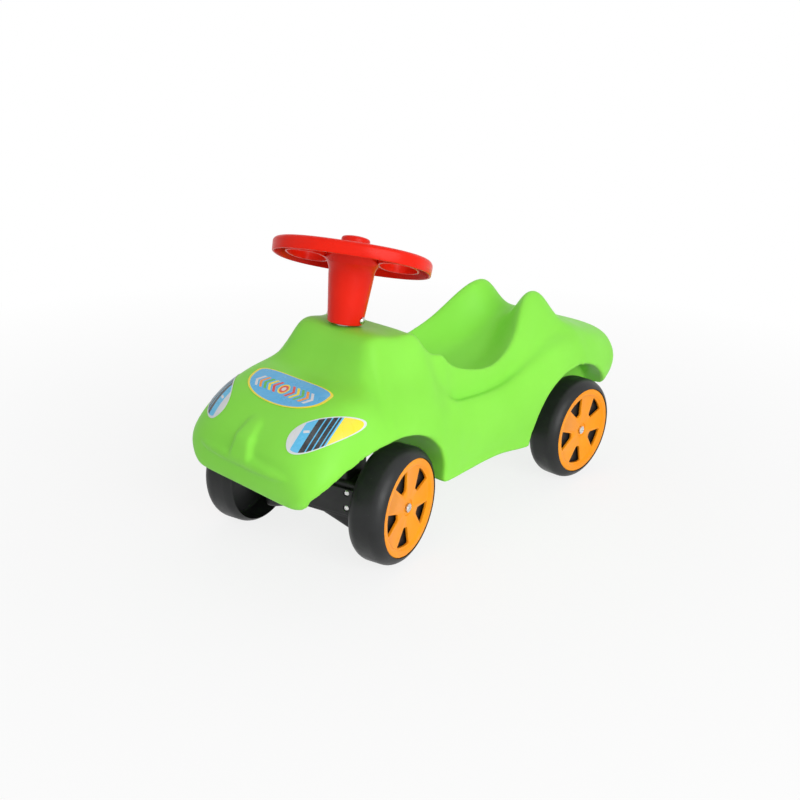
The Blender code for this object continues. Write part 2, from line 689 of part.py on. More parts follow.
def make_carrier(steel, black):
    low = (-CARRIER_HALF, -CARRIER_FRONT, -CARRIER_DOWN)
    high = (CARRIER_HALF, CARRIER_REAR + AXLE_LEAD - CARRIER_EDGE, CARRIER_UP)
    carrier = add_object(
        "axle_carrier", box_mesh("axle_carrier", low, high), model, black, front_axle_frame()
    )
    bevel(carrier, CARRIER_EDGE, 2)
    tower_low = (-TOWER_HALF, -CARRIER_REAR, TOWER_FOOT)
    tower_high = (TOWER_HALF, TOWER_BACK, TOWER_UP)
    tower = add_cutter("tower", box_mesh("tower", tower_low, tower_high), front_axle_frame())
    bevel(tower, CARRIER_EDGE, 2)
    boolean(carrier, tower, "UNION")
    lugs = []
    for side in (-1, 1):
        ends = sorted((side * LUG_IN, side * (CARRIER_HALF - LUG_STEP)))
        lug_low = (ends[0], low[1] + LUG_STEP, -LUG_DOWN)
        lugs.append(box_mesh("lug", lug_low, (ends[1], high[1] - LUG_STEP, -AXLE_R - LUG_ROUND)))
    feet = add_cutter("lugs", merged("lugs", lugs), front_axle_frame())
    bevel(feet, LUG_ROUND, 2)
    boolean(carrier, feet, "UNION")
    stem = rod_mesh("stem", STEM_R, -CARRIER_DOWN - STEM_PAD, STEM_TOP, segments=24)
    boolean(carrier, add_cutter("stem", stem, steer_frame()), "UNION")
    bore = rod_mesh("shaft_bore", SHAFT_R + RUN_GAP, -CUT_HALF, CUT_HALF, segments=16)
    boolean(carrier, add_cutter("shaft_bore", bore, steer_frame()))
    groove_half = AXLE_R + SEAT_GAP
    groove_low = (-CUT_HALF, -CUT_HALF, -groove_half)
    groove_mesh = box_mesh("groove", groove_low, (CUT_HALF, groove_half, groove_half))
    boolean(carrier, add_cutter("groove", groove_mesh, front_axle_frame()))
    boolean(carrier, bpy.data.objects["pin_bore"])

    plate_back = -CARRIER_FRONT - SEAT_GAP
    plate_front = plate_back - CLAMP_THICK
    plate = box_mesh(
        "carrier_clamp", (-CLAMP_HALF, plate_front, -CLAMP_DOWN), (CLAMP_HALF, plate_back, CLAMP_UP)
    )
    clamp = add_object("carrier_clamp", plate, model, black, front_axle_frame())
    bevel(clamp, CLAMP_EDGE, 2)
    rib_low = (CLAMP_EDGE - CLAMP_HALF, plate_back - CLAMP_THICK / 2, -AXLE_R)
    rib_high = (CLAMP_HALF - CLAMP_EDGE, -AXLE_R - SEAT_GAP, AXLE_R)
    boolean(clamp, add_cutter("rib", box_mesh("rib", rib_low, rib_high), front_axle_frame()), "UNION")

    holes = []
    into = Matrix.Rotation(math.radians(90), 4, "X")
    head_seat = -plate_front - SCREW_HEAD - 2 * SEAT_GAP  # the heads lie below the plate's face
    under_head = head_seat + SEAT_GAP
    tip = -plate_back - SCREW_LENGTH
    hole_r = SCREW_R + SEAT_GAP
    sink_r = SCREW_HEAD_R + SEAT_GAP
    drill = [(hole_r, tip), (hole_r, head_seat), (sink_r, head_seat), (sink_r, CUT_HALF)]
    profile = [
        (SCREW_R, tip + SEAT_GAP), (SCREW_R, under_head), (SCREW_HEAD_R, under_head),
        (SCREW_HEAD_R, under_head + SCREW_HEAD * SCREW_BRIM),
        (SCREW_HEAD_R * SCREW_BRIM, under_head + SCREW_HEAD),
    ]
    places = [(side * SCREW_X, level * SCREW_Z) for side in (-1, 1) for level in (-1, 1)]
    for number, (x, z) in enumerate(places, 1):
        place = Matrix.Translation((x, 0, z)) @ into
        holes.append(moved(spindle("hole", drill, 12), place))
        screw = spindle(f"carrier_screw_{number}", profile, 12)
        add_object(f"carrier_screw_{number}", screw, model, steel, front_axle_frame() @ place)
    drilled = add_cutter("screw_holes", merged("screw_holes", holes), front_axle_frame())
    boolean(carrier, drilled)
    boolean(clamp, drilled)

    pin_half = STEM_R + PIN_PROUD
    pin_mesh = across(rod_mesh("carrier_pin", PIN_R, -pin_half, pin_half, segments=12))
    add_object("carrier_pin", pin_mesh, model, steel, steer_frame(PIN_T))


# Wheels on their axles


def tyre_profile():
    flat = WHEEL_R - SHOULDER_R
    lip = CAP_R + CAP_ROOM
    start = math.degrees(math.acos((lip - flat) / SHOULDER_R))
    inner = WHEEL_R - TYRE_WALL
    end = math.degrees(math.acos((inner - flat) / SHOULDER_R))
    bore = AXLE_R + RUN_GAP
    hub_end = -HUB_END_DEPTH - HUB_LENGTH
    web = -WEB_DEPTH
    profile = arc(flat, -SHOULDER_R, SHOULDER_R, start, 0, 3)
    profile += arc(flat, SHOULDER_R - WHEEL_WIDTH, SHOULDER_R, 0, -end, 2)
    profile += [
        (inner, web - WEB_THICK), (HUB_R, web - WEB_THICK), (HUB_R, hub_end), (bore, hub_end),
        (bore, -HUB_END_DEPTH), (HUB_R, -HUB_END_DEPTH), (HUB_R, web), (lip, web),
    ]
    return profile


def cap_profile():
    face = -CAP_RECESS - CAP_SINK
    dish = face - CAP_DISH_DEPTH
    back = face - CAP_THICK
    floor = -HUB_END_DEPTH + SEAT_GAP
    skirt = -WEB_DEPTH + SEAT_GAP
    hole = AXLE_R + CAP_ROOM
    ring_r = CAP_R - CAP_RING
    return [
        (hole, dish), (CAP_DISH_R, dish), (CAP_DISH_R + CAP_EDGE, face), (ring_r - CAP_SINK, face),
        (ring_r, -CAP_RECESS), (CAP_R - CAP_EDGE, -CAP_RECESS), (CAP_R, -CAP_RECESS - CAP_EDGE),
        (CAP_R, skirt), (CAP_R - CAP_SKIRT, skirt), (CAP_R - CAP_SKIRT, back), (HUB_R + CAP_EDGE, back),
        (HUB_R, floor), (hole, floor),
    ]


def make_wheel(name, place, black, orange):
    turned(f"{name}_tyre", tyre_profile(), model, black, place)
    cap = turned(f"{name}_hubcap", cap_profile(), model, orange, place)
    windows = []
    outline = [
        (WINDOW_IN_R, -WINDOW_IN_WIDTH / 2), (WINDOW_OUT_R, -WINDOW_OUT_WIDTH / 2),
        (WINDOW_OUT_R + WINDOW_BULGE, 0), (WINDOW_OUT_R, WINDOW_OUT_WIDTH / 2),
        (WINDOW_IN_R, WINDOW_IN_WIDTH / 2),
    ]
    for i in range(WINDOW_COUNT):
        turn = Matrix.Rotation(WINDOW_PHASE + 2 * math.pi * i / WINDOW_COUNT, 4, "Z")
        depth = CAP_RECESS + CAP_SINK + CAP_THICK + CAP_EDGE
        windows.append(moved(prism("window", outline, -depth, CAP_THICK), turn))
    boolean(cap, add_cutter(f"{name}_windows", merged("windows", windows), place))


def make_axle_end(name, place, inner, steel, black):
    """Push-on cap outside a wheel, and the spacer between its hub and what carries it."""
    seat = -CAP_RECESS - CAP_SINK - CAP_DISH_DEPTH + SEAT_GAP
    axle_end = seat + PUSH_CAP_DEPTH - PUSH_CAP_DOME / 2
    crown = seat + PUSH_CAP_DEPTH
    profile = [
        (PUSH_CAP_EYE, crown + PUSH_CAP_DOME),
        (PUSH_CAP_R * PUSH_CAP_BEND, crown + PUSH_CAP_DOME * PUSH_CAP_BEND),
        (PUSH_CAP_R, crown), (PUSH_CAP_R, seat), (AXLE_R + SEAT_GAP, seat),
        (AXLE_R + SEAT_GAP, axle_end + SEAT_GAP), (PUSH_CAP_EYE, axle_end + SEAT_GAP),
    ]
    turned(f"{name}_axle_cap", profile, model, steel, place, 12)
    hub_end = -HUB_END_DEPTH - HUB_LENGTH
    bore = AXLE_R + RUN_GAP
    low = inner + SEAT_GAP
    ring(f"{name}_spacer", bore, SPACER_R, low, hub_end - SEAT_GAP, model, black, place, 16)
    return axle_end


def make_axle(name, place, track, end_depth, steel):
    half = track / 2 + end_depth
    mesh = across(rod_mesh(name, AXLE_R, -half, half, segments=16))
    soften(mesh)
    add_object(name, mesh, model, steel, place)


def make_running_gear(steel, black, orange, white):
    sides = ((1, "left"), (-1, "right"))
    axles = (
        ("front", front_axle_frame(), FRONT_TRACK, CARRIER_HALF),
        ("rear", rear_axle_frame(), REAR_TRACK, LOBE_HALF + SEAT_GAP + BUSH_FLANGE),
    )
    for end, frame, track, inner in axles:
        for side, word in sides:
            place = frame @ Matrix.Translation((side * track / 2, 0, 0)) @ outward(side)
            make_wheel(f"{end}_{word}", place, black, orange)
            end_depth = make_axle_end(f"{end}_{word}", place, inner - track / 2, steel, black)
        make_axle(f"{end}_axle", frame, track, end_depth, steel)
    bore = AXLE_R + RUN_GAP
    sleeve = bore + BUSH_WALL
    profile = [
        (bore, BUSH_FLANGE), (BUSH_FLANGE_R, BUSH_FLANGE), (BUSH_FLANGE_R, 0), (sleeve, 0),
        (sleeve, -BUSH_LENGTH), (bore, -BUSH_LENGTH),
    ]
    for side, word in sides:
        place = rear_axle_frame() @ outward(side) @ Matrix.Translation((0, 0, LOBE_HALF + SEAT_GAP))
        turned(f"rear_{word}_bush", profile, model, white, place, 16)


# Steering wheel and horn


def rim_mesh():
    """Rounded square rim with a deep skirt, closed on top by its plate."""
    bend = RIM_EDGE_R * (1 - math.cos(math.radians(45)))
    rings = [
        (RIM_EDGE_R, 0), (bend, -bend), (0, -RIM_EDGE_R),
        (RIM_DRAFT, -RIM_DEPTH), (RIM_DRAFT + RIM_LOWER_WALL, -RIM_DEPTH),
        (RIM_WALL + RIM_DRAFT, -RIM_PLATE),
    ]
    loops = []
    for inset, height in rings:
        outline = oval(RIM_HALF_X - inset, RIM_HALF_Y - inset, RIM_POWER, 32)
        loops.append([(x, y, height) for x, y in outline])
    mesh = lofted("steering_wheel", loops)
    soften(mesh)
    return mesh


def rim_frame():
    twist = Matrix.Rotation(RIM_TWIST, 4, "Z")
    return steer_frame(COLUMN_FOOT + RIM_RISE) @ twist @ Matrix.Rotation(-RIM_TILT, 4, "X")


def make_steering_wheel(red, steel):
    wheel = add_object("steering_wheel", rim_mesh(), model, red, rim_frame())
    profile = [
        (COLUMN_R, 0), (COLUMN_TOP_R, COLUMN_HEIGHT), (FLARE_IN_R, COLUMN_HEIGHT + FLARE_DROP),
        (FLARE_R, RIM_RISE - FLARE_DROP), (FLARE_R, COLUMN_SOLID),
    ]
    column = add_cutter("column", spindle("column", profile), steer_frame(COLUMN_FOOT))
    above = box_mesh(
        "above_plate", (-CUT_HALF, -CUT_HALF, -RIM_PLATE / 2), (CUT_HALF, CUT_HALF, CUT_HALF)
    )
    hollow = [
        (SOCKET_R, COLUMN_HEIGHT), (COLUMN_TOP_R - COLUMN_WALL, COLUMN_HEIGHT),
        (COLUMN_R - COLUMN_WALL, -COLUMN_WALL), (SOCKET_R, -COLUMN_WALL),
    ]
    annulus = turned("column_hollow", hollow, cutters, None, steer_frame(COLUMN_FOOT))
    annulus.hide_render = True
    annulus.display_type = "WIRE"
    boolean(column, annulus)
    socket = rod_mesh("socket", SHAFT_R + RUN_GAP, -COLUMN_WALL, SHAFT_TOP - COLUMN_FOOT + SEAT_GAP)
    boolean(column, add_cutter("socket", socket, steer_frame(COLUMN_FOOT)))
    boolean(column, add_cutter("above_plate", above, rim_frame()))
    boolean(column, bpy.data.objects["bolt_bore"])
    boolean(wheel, column, "UNION")
    lips = []
    windows = []
    for side in (-1, 1):
        centre = side * GRIP_X
        outer = oval(GRIP_HALF_X + GRIP_LIP, GRIP_HALF_Y + GRIP_LIP, GRIP_POWER, SEGMENTS, centre)
        lips.append(prism("lip", outer, -GRIP_LIP_DROP, -RIM_PLATE / 2))
        opening = oval(GRIP_HALF_X, GRIP_HALF_Y, GRIP_POWER, SEGMENTS, centre)
        windows.append(prism("grip_window", opening, -RIM_RISE, RIM_RISE))
    boolean(wheel, add_cutter("grip_lips", merged("grip_lips", lips), rim_frame()), "UNION")
    boolean(wheel, add_cutter("grip_windows", merged("grip_windows", windows), rim_frame()))
    pocket = rod_mesh("horn_pocket", HORN_R + SEAT_GAP, -HORN_POCKET, CUT_HALF, segments=28)
    boolean(wheel, add_cutter("horn_pocket", pocket, rim_frame()))

    frame = steer_frame(COLUMN_FOOT + BOLT_RISE)
    reach = COLUMN_R + BOLT_CLEAR
    thread_end = -reach - BOLT_HEAD
    bolt_mesh = across(rod_mesh("column_bolt", BOLT_R, thread_end, reach + BOLT_HEAD / 2, segments=12))
    bolt = add_object("column_bolt", bolt_mesh, model, steel, frame)
    head = across(rod_mesh("bolt_head", BOLT_HEAD_R, reach, reach + BOLT_HEAD, segments=12))
    boolean(bolt, add_cutter("bolt_head", head, frame), "UNION")
    nut_frame = frame @ Matrix.Rotation(math.radians(90), 4, "Y")
    ends = [(BOLT_HEAD_R, thread_end + SEAT_GAP), (BOLT_HEAD_R, -reach)]
    nut = add_object("column_nut", spindle("column_nut", ends, 6), model, steel, nut_frame)
    thread = rod_mesh("nut_bore", BOLT_R + RUN_GAP, -CUT_HALF, CUT_HALF, segments=12)
    boolean(nut, add_cutter("nut_bore", thread, nut_frame))


def make_horn(red, black):
    top = HORN_PROUD
    foot = HORN_PROUD - HORN_DEPTH
    inside = top - HORN_WALL * 2
    profile = [
        (HORN_EYE, top + HORN_CROWN), (HORN_R - HORN_SHOULDER, top + HORN_CROWN / 2),
        (HORN_R - HORN_WALL, top), (HORN_R, top - HORN_WALL), (HORN_R, foot), (HORN_R - HORN_WALL, foot),
        (HORN_R - HORN_WALL, inside), (HORN_EYE, inside),
    ]
    turned("horn_button", profile, model, red, rim_frame())
    low = SEAT_GAP - HORN_POCKET
    high = inside - HORN_TRAVEL - SEAT_GAP
    fold = (high - low) / SQUEAKER_FOLDS
    bellows = [(SQUEAKER_HOLE, high)]
    for i in range(SQUEAKER_FOLDS):
        bellows += [(SQUEAKER_R, high - fold * i), (SQUEAKER_WAIST, high - fold * (i + 0.5))]
    bellows += [(SQUEAKER_R, low), (SQUEAKER_HOLE, low)]
    turned("horn_squeaker", bellows, model, black, rim_frame(), 20)


# Printed decals, wrapped onto the body


def make_decal(name, outline, place, skin, material):
    """Thin sheet in the outline's shape, laid onto the body along its own -Z."""
    bm = bmesh.new()
    loops = []
    for i in range(DECAL_RINGS):
        share = 1 - i / DECAL_RINGS
        loops.append([bm.verts.new((x * share, y * share, 0)) for x, y in outline])
    centre = bm.verts.new((0, 0, 0))
    count = len(outline)
    for i in range(count):
        j = (i + 1) % count
        for outer, inner in zip(loops, loops[1:]):
            bm.faces.new((outer[i], outer[j], inner[j], inner[i]))
        bm.faces.new((loops[-1][i], loops[-1][j], centre))
    mesh = bpy.data.meshes.new(name)
    bm.to_mesh(mesh)
    bm.free()
    decal = add_object(name, mesh, model, material, place)
    wrap = decal.modifiers.new("wrap", "SHRINKWRAP")
    wrap.target = skin
    wrap.wrap_method = "PROJECT"
    wrap.use_project_z = True
    wrap.use_negative_direction = True
    wrap.use_positive_direction = False
    wrap.wrap_mode = "ABOVE_SURFACE"
    wrap.offset = DECAL_GAP
    sheet = decal.modifiers.new("sheet", "SOLIDIFY")
    sheet.thickness = DECAL_THICK
    sheet.offset = 1


def facing(point, direction, up=Vector((0, 0, 1))):
    """Frame at the point with Z along the direction and Y as near up as it can be."""
    z = Vector(direction).normalized()
    x = up.cross(z).normalized()
    y = z.cross(x)
    turn = Matrix((x, y, z)).transposed().to_4x4()
    return Matrix.Translation(point) @ turn


def make_decals(skin):
    print_blue = plastic("print_blue", (0.10, 0.55, 0.90), 0.35)
    for side, word in ((1, "left"), (-1, "right")):
        direction = Vector((LAMP_OUT * side, -1, LAMP_UP))
        place = facing(Vector((LAMP_X * side, LAMP_Y, WHEEL_R + LAMP_RISE)), direction)
        place = place @ Matrix.Translation((0, 0, DECAL_LIFT))
        outline = oval(LAMP_HALF_X, LAMP_HALF_Z, LAMP_POWER, SEGMENTS)
        make_decal(f"lamp_decal_{word}", outline, place, skin, print_blue)
    point = Vector((0, PLATE_Y, WHEEL_R + PLATE_RISE))
    place = facing(point, Vector((0, -PLATE_LEAN, 1)), Vector((0, 1, 0)))
    place = place @ Matrix.Translation((0, 0, DECAL_LIFT))
    outline = oval(PLATE_HALF_X, PLATE_HALF_Y, PLATE_POWER, SEGMENTS)
    make_decal("hood_decal", outline, place, skin, print_blue)


def hang_on_steering():
    """Parents the front axle's pieces to an empty on the steering axis and leaves them in place."""
    pivot = bpy.data.objects.new("steering_pivot", None)
    pivot.matrix_world = steer_frame()
    model.objects.link(pivot)
    for obj in list(model.objects):
        if obj.name.startswith(("axle_carrier", "carrier_", "front_")):
            obj.parent = pivot
            obj.matrix_parent_inverse = steer_frame().inverted()


remove_startup_objects()
model = new_collection("kids_ride_on_car")
cutters = new_collection("cutters")
steel = plastic("bright_steel", (0.78, 0.78, 0.76), 0.25, 1.0)
black = plastic("wheel_black", (0.015, 0.015, 0.017), 0.38)
white = plastic("bush_white", (0.80, 0.80, 0.78), 0.5)
orange = plastic("hub_orange", (1.0, 0.30, 0.01), 0.35)
red = plastic("steering_red", (0.80, 0.02, 0.01), 0.3)

skin = make_body()
make_shaft(steel, white)
make_carrier(steel, black)
make_running_gear(steel, black, orange, white)
make_steering_wheel(red, steel)
make_horn(red, black)
make_decals(skin)
hang_on_steering()
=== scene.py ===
import math

import bmesh
import bpy
import numpy as np
from mathutils import Matrix, Vector
from mathutils.bvhtree import BVHTree


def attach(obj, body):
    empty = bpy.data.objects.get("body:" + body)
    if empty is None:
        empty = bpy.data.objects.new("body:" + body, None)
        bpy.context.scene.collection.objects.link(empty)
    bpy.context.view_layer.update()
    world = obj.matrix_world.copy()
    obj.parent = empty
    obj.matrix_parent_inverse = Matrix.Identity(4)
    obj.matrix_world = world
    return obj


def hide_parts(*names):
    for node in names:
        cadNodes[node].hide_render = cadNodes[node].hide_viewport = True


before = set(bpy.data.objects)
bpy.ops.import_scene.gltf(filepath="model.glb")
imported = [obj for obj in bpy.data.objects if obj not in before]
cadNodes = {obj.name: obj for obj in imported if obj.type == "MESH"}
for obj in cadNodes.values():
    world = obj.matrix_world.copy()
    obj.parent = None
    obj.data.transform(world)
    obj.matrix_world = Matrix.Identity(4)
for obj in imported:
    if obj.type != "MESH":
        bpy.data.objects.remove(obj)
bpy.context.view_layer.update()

mm = 0.001
past = 0.15  # how far a cutter reaches past its piece
sides = {"nut": 6, "screw": 16, "rod": 24, "cap": 32, "seat": 48, "round": 64, "wheel": 96}
shading = {"crisp": 30, "plain": 35, "soft": 40}  # degrees up to which an edge is shaded smooth


# Picking, placing and joining

def freshStart():
    if bpy.context.object and bpy.context.object.mode != "OBJECT":
        bpy.ops.object.mode_set(mode="OBJECT")
    bpy.ops.object.select_all(action="DESELECT")


def pick(piece):
    freshStart()
    piece.select_set(True)
    bpy.context.view_layer.objects.active = piece


def place(piece, matrix):
    piece.data.transform(matrix)
    piece.data.update()
    return piece


def applyModifier(piece, name, kind, **values):
    pick(piece)
    modifier = piece.modifiers.new(name, kind)
    for key, value in values.items():
        setattr(modifier, key, value)
    bpy.ops.object.modifier_apply(modifier=name)


def combine(piece, other, operation="DIFFERENCE"):
    applyModifier(piece, "combine", "BOOLEAN", object=other, operation=operation, solver="EXACT")
    bpy.data.objects.remove(other, do_unlink=True)


def roundEdges(piece, width, segments=3, degrees=38):
    applyModifier(
        piece, "round", "BEVEL", width=width, segments=segments, limit_method="ANGLE",
        angle_limit=math.radians(degrees), miter_outer="MITER_ARC"
    )


def breakEdges(piece, width):  # a fine bevel on the sharpest edges only
    roundEdges(piece, width, segments=2, degrees=50)


def smoothShade(piece, kind="plain"):
    pick(piece)
    bpy.ops.object.shade_smooth_by_angle(angle=math.radians(shading[kind]))


def copyPiece(piece, name, matrix):
    twin = bpy.data.objects.new(name, piece.data.copy())
    bpy.context.scene.collection.objects.link(twin)
    return place(twin, matrix)


def dress(piece, finish, body, slot, *replaced):
    piece.data.materials.clear()
    piece.data.materials.append(finish)
    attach(piece, body)
    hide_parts(*replaced)


# Pieces drawn up ring by ring: a circle, extruded and moved to each ring in turn

def faceOut():  # in edit mode: turns every face outwards, then leaves edit mode
    bpy.ops.mesh.select_all(action="SELECT")
    bpy.ops.mesh.normals_make_consistent(inside=False)
    bpy.ops.object.mode_set(mode="OBJECT")


def ringLoft(name, rings, ends="capped"):
    freshStart()
    bpy.ops.mesh.primitive_circle_add(vertices=len(rings[0]), radius=1.0)
    piece = bpy.context.object
    piece.name = name
    bpy.ops.object.mode_set(mode="EDIT")
    bpy.ops.mesh.select_all(action="SELECT")
    spots = {}  # each point's place in its ring
    for number, ring in enumerate(rings):
        if number:
            bpy.ops.mesh.extrude_region()
        mesh = bmesh.from_edit_mesh(piece.data)
        moving = [vert for vert in mesh.verts if vert.select]
        before = spots if number else {tuple(vert.co): i for i, vert in enumerate(moving)}
        spots = {}
        for vert in moving:
            spot = before[tuple(vert.co)]
            vert.co = ring[spot]
            spots[tuple(vert.co)] = spot
        bmesh.update_edit_mesh(piece.data)
    bpy.ops.mesh.select_all(action="DESELECT")
    bpy.ops.mesh.select_mode(type="EDGE")
    bpy.ops.mesh.select_non_manifold(extend=False)
    if ends == "capped":
        bpy.ops.mesh.fill_holes(sides=0)
    if ends == "closed":
        bpy.ops.mesh.bridge_edge_loops()
    faceOut()
    return piece


def roundRing(radius, height, steps):
    turn = 2 * math.pi / steps
    angles = [(i + 0.5) * turn for i in range(steps)]
    return [(radius * math.cos(angle), radius * math.sin(angle), height) for angle in angles]


def turnedPiece(name, profile, steps, ends="closed"):
    return ringLoft(name, [roundRing(radius, height, steps) for radius, height in profile], ends)


def rod(name, radius, low, high, steps):
    return turnedPiece(name, ((radius, low), (radius, high)), steps, "capped")


def prism(name, outline, low, high):
    return ringLoft(name, [[(x, y, height) for x, y in outline] for height in (low, high)])


def arcPoints(middle, radius, start, end, steps):
    points = []
    for i in range(steps + 1):
        angle = math.radians(start + (end - start) * i / steps)
        points.append((middle[0] + radius * math.cos(angle), middle[1] + radius * math.sin(angle)))
    return points


def squared(share, power):  # a circle's sine or cosine, pushed out towards a square
    return math.copysign(abs(share) ** (2 / power), share)


def squircle(halfX, halfY, power, count, middleX=0.0):
    points = []
    for i in range(count):
        angle = 2 * math.pi * i / count
        x, y = squared(math.cos(angle), power) * halfX, squared(math.sin(angle), power) * halfY
        points.append((middleX + x, y))
    return points


def addBox(name, low, high):
    freshStart()
    low, high = Vector(low), Vector(high)
    bpy.ops.mesh.primitive_cube_add(size=1.0, location=(low + high) / 2)
    piece = bpy.context.object
    piece.name = name
    piece.scale = high - low
    bpy.ops.object.transform_apply(location=True, rotation=True, scale=True)
    return piece


# The car's own frames, as in the construction

steering = {"rake": 9.0, "turn": 13.4, "axisY": -0.1777, "axleHeight": 0.070, "axleLead": 0.0106}
rim = {
    "foot": 0.1926, "rise": 0.0825, "tilt": 13.1, "twist": 24.0, "halfX": 0.091, "halfY": 0.0849,
    "power": 2.5, "depth": 0.0155, "wall": 0.003, "plate": 0.003, "edge": 0.005, "edgeTurn": 15,
    "flat": 0.004, "draft": 0.0006, "thinning": 0.8, "fineEdge": 0.0006, "gripX": 0.053,
    "gripHalfX": 0.0215, "gripHalfY": 0.040, "gripPower": 2.3, "gripCut": 0.06, "lip": 0.0022,
    "lipDrop": 0.0125,
    "footOut": ((0.0, 0.0008), (0.0003, 0.0002), (0.0009, 0.0)),  # inset and rise along the skirt's foot
    "footIn": ((-0.0008, 0.0), (-0.0002, 0.0003), (0.0, 0.0009)),
    "fillet": ((0.0, -0.0025), (0.0008, -0.0008), (0.0025, 0.0)),
}
track = {"front": 0.2488, "rear": 0.2532, "rearY": 0.1886}


def turned(degrees, axis):
    return Matrix.Rotation(math.radians(degrees), 4, axis)


def steerFrame(height=0.0):
    rake = math.radians(steering["rake"])
    origin = Vector((0, steering["axisY"], steering["axleHeight"]))
    origin += Vector((0, math.sin(rake), math.cos(rake))) * height
    return Matrix.Translation(origin) @ turned(-steering["rake"], "X") @ turned(steering["turn"], "Z")


def frontAxleFrame():
    middle = Matrix.Translation((0, steering["axisY"], steering["axleHeight"]))
    return middle @ turned(steering["turn"], "Z") @ Matrix.Translation((0, -steering["axleLead"], 0))


def rimFrame():
    return steerFrame(rim["foot"] + rim["rise"]) @ turned(rim["twist"], "Z") @ turned(-rim["tilt"], "X")


def wheelPlaces():
    places = {}
    rearFrame = Matrix.Translation((0, track["rearY"], steering["axleHeight"]))
    for end, axleFrame in (("front", frontAxleFrame()), ("rear", rearFrame)):
        for side, word in ((1, "left"), (-1, "right")):
            spot = axleFrame @ Matrix.Translation((side * track[end] / 2, 0, 0))
            places[f"{end}_{word}"] = spot @ turned(90 * side, "Y")
    return places


# Finishes: every one is a Principled shader with mottled colour, uneven gloss and fine grain, the moulded
# ones also with soft waves

def calc(tree, operation, first, second=0.0):
    node = tree.nodes.new("ShaderNodeMath")
    node.operation = operation
    for socket, value in zip(node.inputs, (first, second)):
        if isinstance(value, bpy.types.NodeSocket):
            tree.links.new(value, socket)
        else:
            socket.default_value = value
    return node.outputs[0]


def blendColour(tree, amount, under, over):
    node = tree.nodes.new("ShaderNodeMix")
    node.data_type = "RGBA"
    for socket, value in ((node.inputs[0], amount), (node.inputs[6], under), (node.inputs[7], over)):
        if isinstance(value, bpy.types.NodeSocket):
            tree.links.new(value, socket)
        else:
            socket.default_value = (*value, 1.0)
    return node.outputs[2]


def noise(tree, scale, detail, stretch=None, roughness=0.5):
    coordinates = tree.nodes.new("ShaderNodeTexCoord").outputs["Object"]
    if stretch:
        mapping = tree.nodes.new("ShaderNodeMapping")
        mapping.inputs["Scale"].default_value = stretch
        tree.links.new(coordinates, mapping.inputs["Vector"])
        coordinates = mapping.outputs["Vector"]
    texture = tree.nodes.new("ShaderNodeTexNoise")
    texture.inputs["Scale"].default_value = scale
    texture.inputs["Detail"].default_value = detail
    texture.inputs["Roughness"].default_value = roughness
    tree.links.new(coordinates, texture.inputs["Vector"])
    return texture.outputs["Fac"]


def spread(tree, value, span, limits=(0.0, 1.0)):  # stretches a span of the value over the limits
    node = tree.nodes.new("ShaderNodeMapRange")
    tree.links.new(value, node.inputs["Value"])
    for key, number in zip(("From Min", "From Max", "To Min", "To Max"), (*span, *limits)):
        node.inputs[key].default_value = number
    return node.outputs["Result"]


def bumps(tree, scale, depth, detail, strength=1.0, normal=None):
    node = tree.nodes.new("ShaderNodeBump")
    node.inputs["Distance"].default_value = depth
    node.inputs["Strength"].default_value = strength
    tree.links.new(noise(tree, scale, detail), node.inputs["Height"])
    if normal:
        tree.links.new(normal, node.inputs["Normal"])
    return node.outputs["Normal"]


def newFinish(name):
    material = bpy.data.materials.new(name)
    material.use_nodes = True
    return material, material.node_tree, material.node_tree.nodes["Principled BSDF"]


plastic = {  # what every moulded finish shares
    "span": (0.3, 0.7), "mottleDetail": 4.0, "glossRatio": 2.3, "glossDetail": 5.0, "waveDetail": 2.0,
    "grainDetail": 3.0, "scuffSpan": (0.66, 0.74), "scuffDetail": 6.0, "scuffBreakUp": 0.65,
    "scuffRoughens": 0.35, "glowReach": (0.006, 0.012, 0.003),
}
greenSkin = {  # scuffs are a noise's scale and their strength, grain and waves a scale and a depth
    "deep": (0.250, 0.76, 0.064), "pale": (0.280, 0.82, 0.080), "mottle": 9.0, "gloss": (0.40, 0.50),
    "grain": (900.0, 0.00005), "waves": (22.0, 0.0009), "scuffs": (60.0, 0.10), "stretch": (1.0, 3.0, 1.0),
    "scuffColour": (0.45, 0.90, 0.25), "ior": 1.49, "specular": 0.20, "glow": 0.12,
}
redGloss = {
    "deep": (0.76, 0.012, 0.003), "pale": (0.84, 0.018, 0.005), "mottle": 14.0, "gloss": (0.26, 0.36),
    "grain": (1100.0, 0.00003), "waves": (40.0, 0.0003), "scuffs": (90.0, 0.12), "stretch": (1.0, 1.0, 3.0),
    "scuffColour": (0.85, 0.12, 0.08), "ior": 1.50, "specular": 0.15,
}
orangeGloss = {
    "deep": (0.95, 0.300, 0.006), "pale": (0.98, 0.360, 0.012), "mottle": 18.0, "gloss": (0.28, 0.38),
    "grain": (1200.0, 0.00003), "waves": (45.0, 0.0003), "scuffs": (110.0, 0.12), "stretch": (1.0, 1.0, 1.0),
    "scuffColour": (1.0, 0.45, 0.12), "ior": 1.50, "specular": 0.15,
}
tyreBlack = {
    "deep": (0.012, 0.013, 0.013), "pale": (0.022, 0.023, 0.024), "mottle": 20.0, "gloss": (0.34, 0.50),
    "grain": (800.0, 0.00010), "waves": (30.0, 0.0006), "scuffs": (230.0, 0.55), "stretch": (1.0, 1.0, 1.0),
    "scuffColour": (0.07, 0.07, 0.07), "ior": 1.50, "specular": 0.28,
}
carrierBlack = {
    "deep": (0.010, 0.010, 0.011), "pale": (0.020, 0.020, 0.021), "mottle": 26.0, "gloss": (0.42, 0.58),
    "grain": (700.0, 0.00012), "waves": (40.0, 0.0003), "scuffs": (160.0, 0.35), "stretch": (3.0, 1.0, 1.0),
    "scuffColour": (0.06, 0.06, 0.06), "ior": 1.48, "specular": 0.40,
}
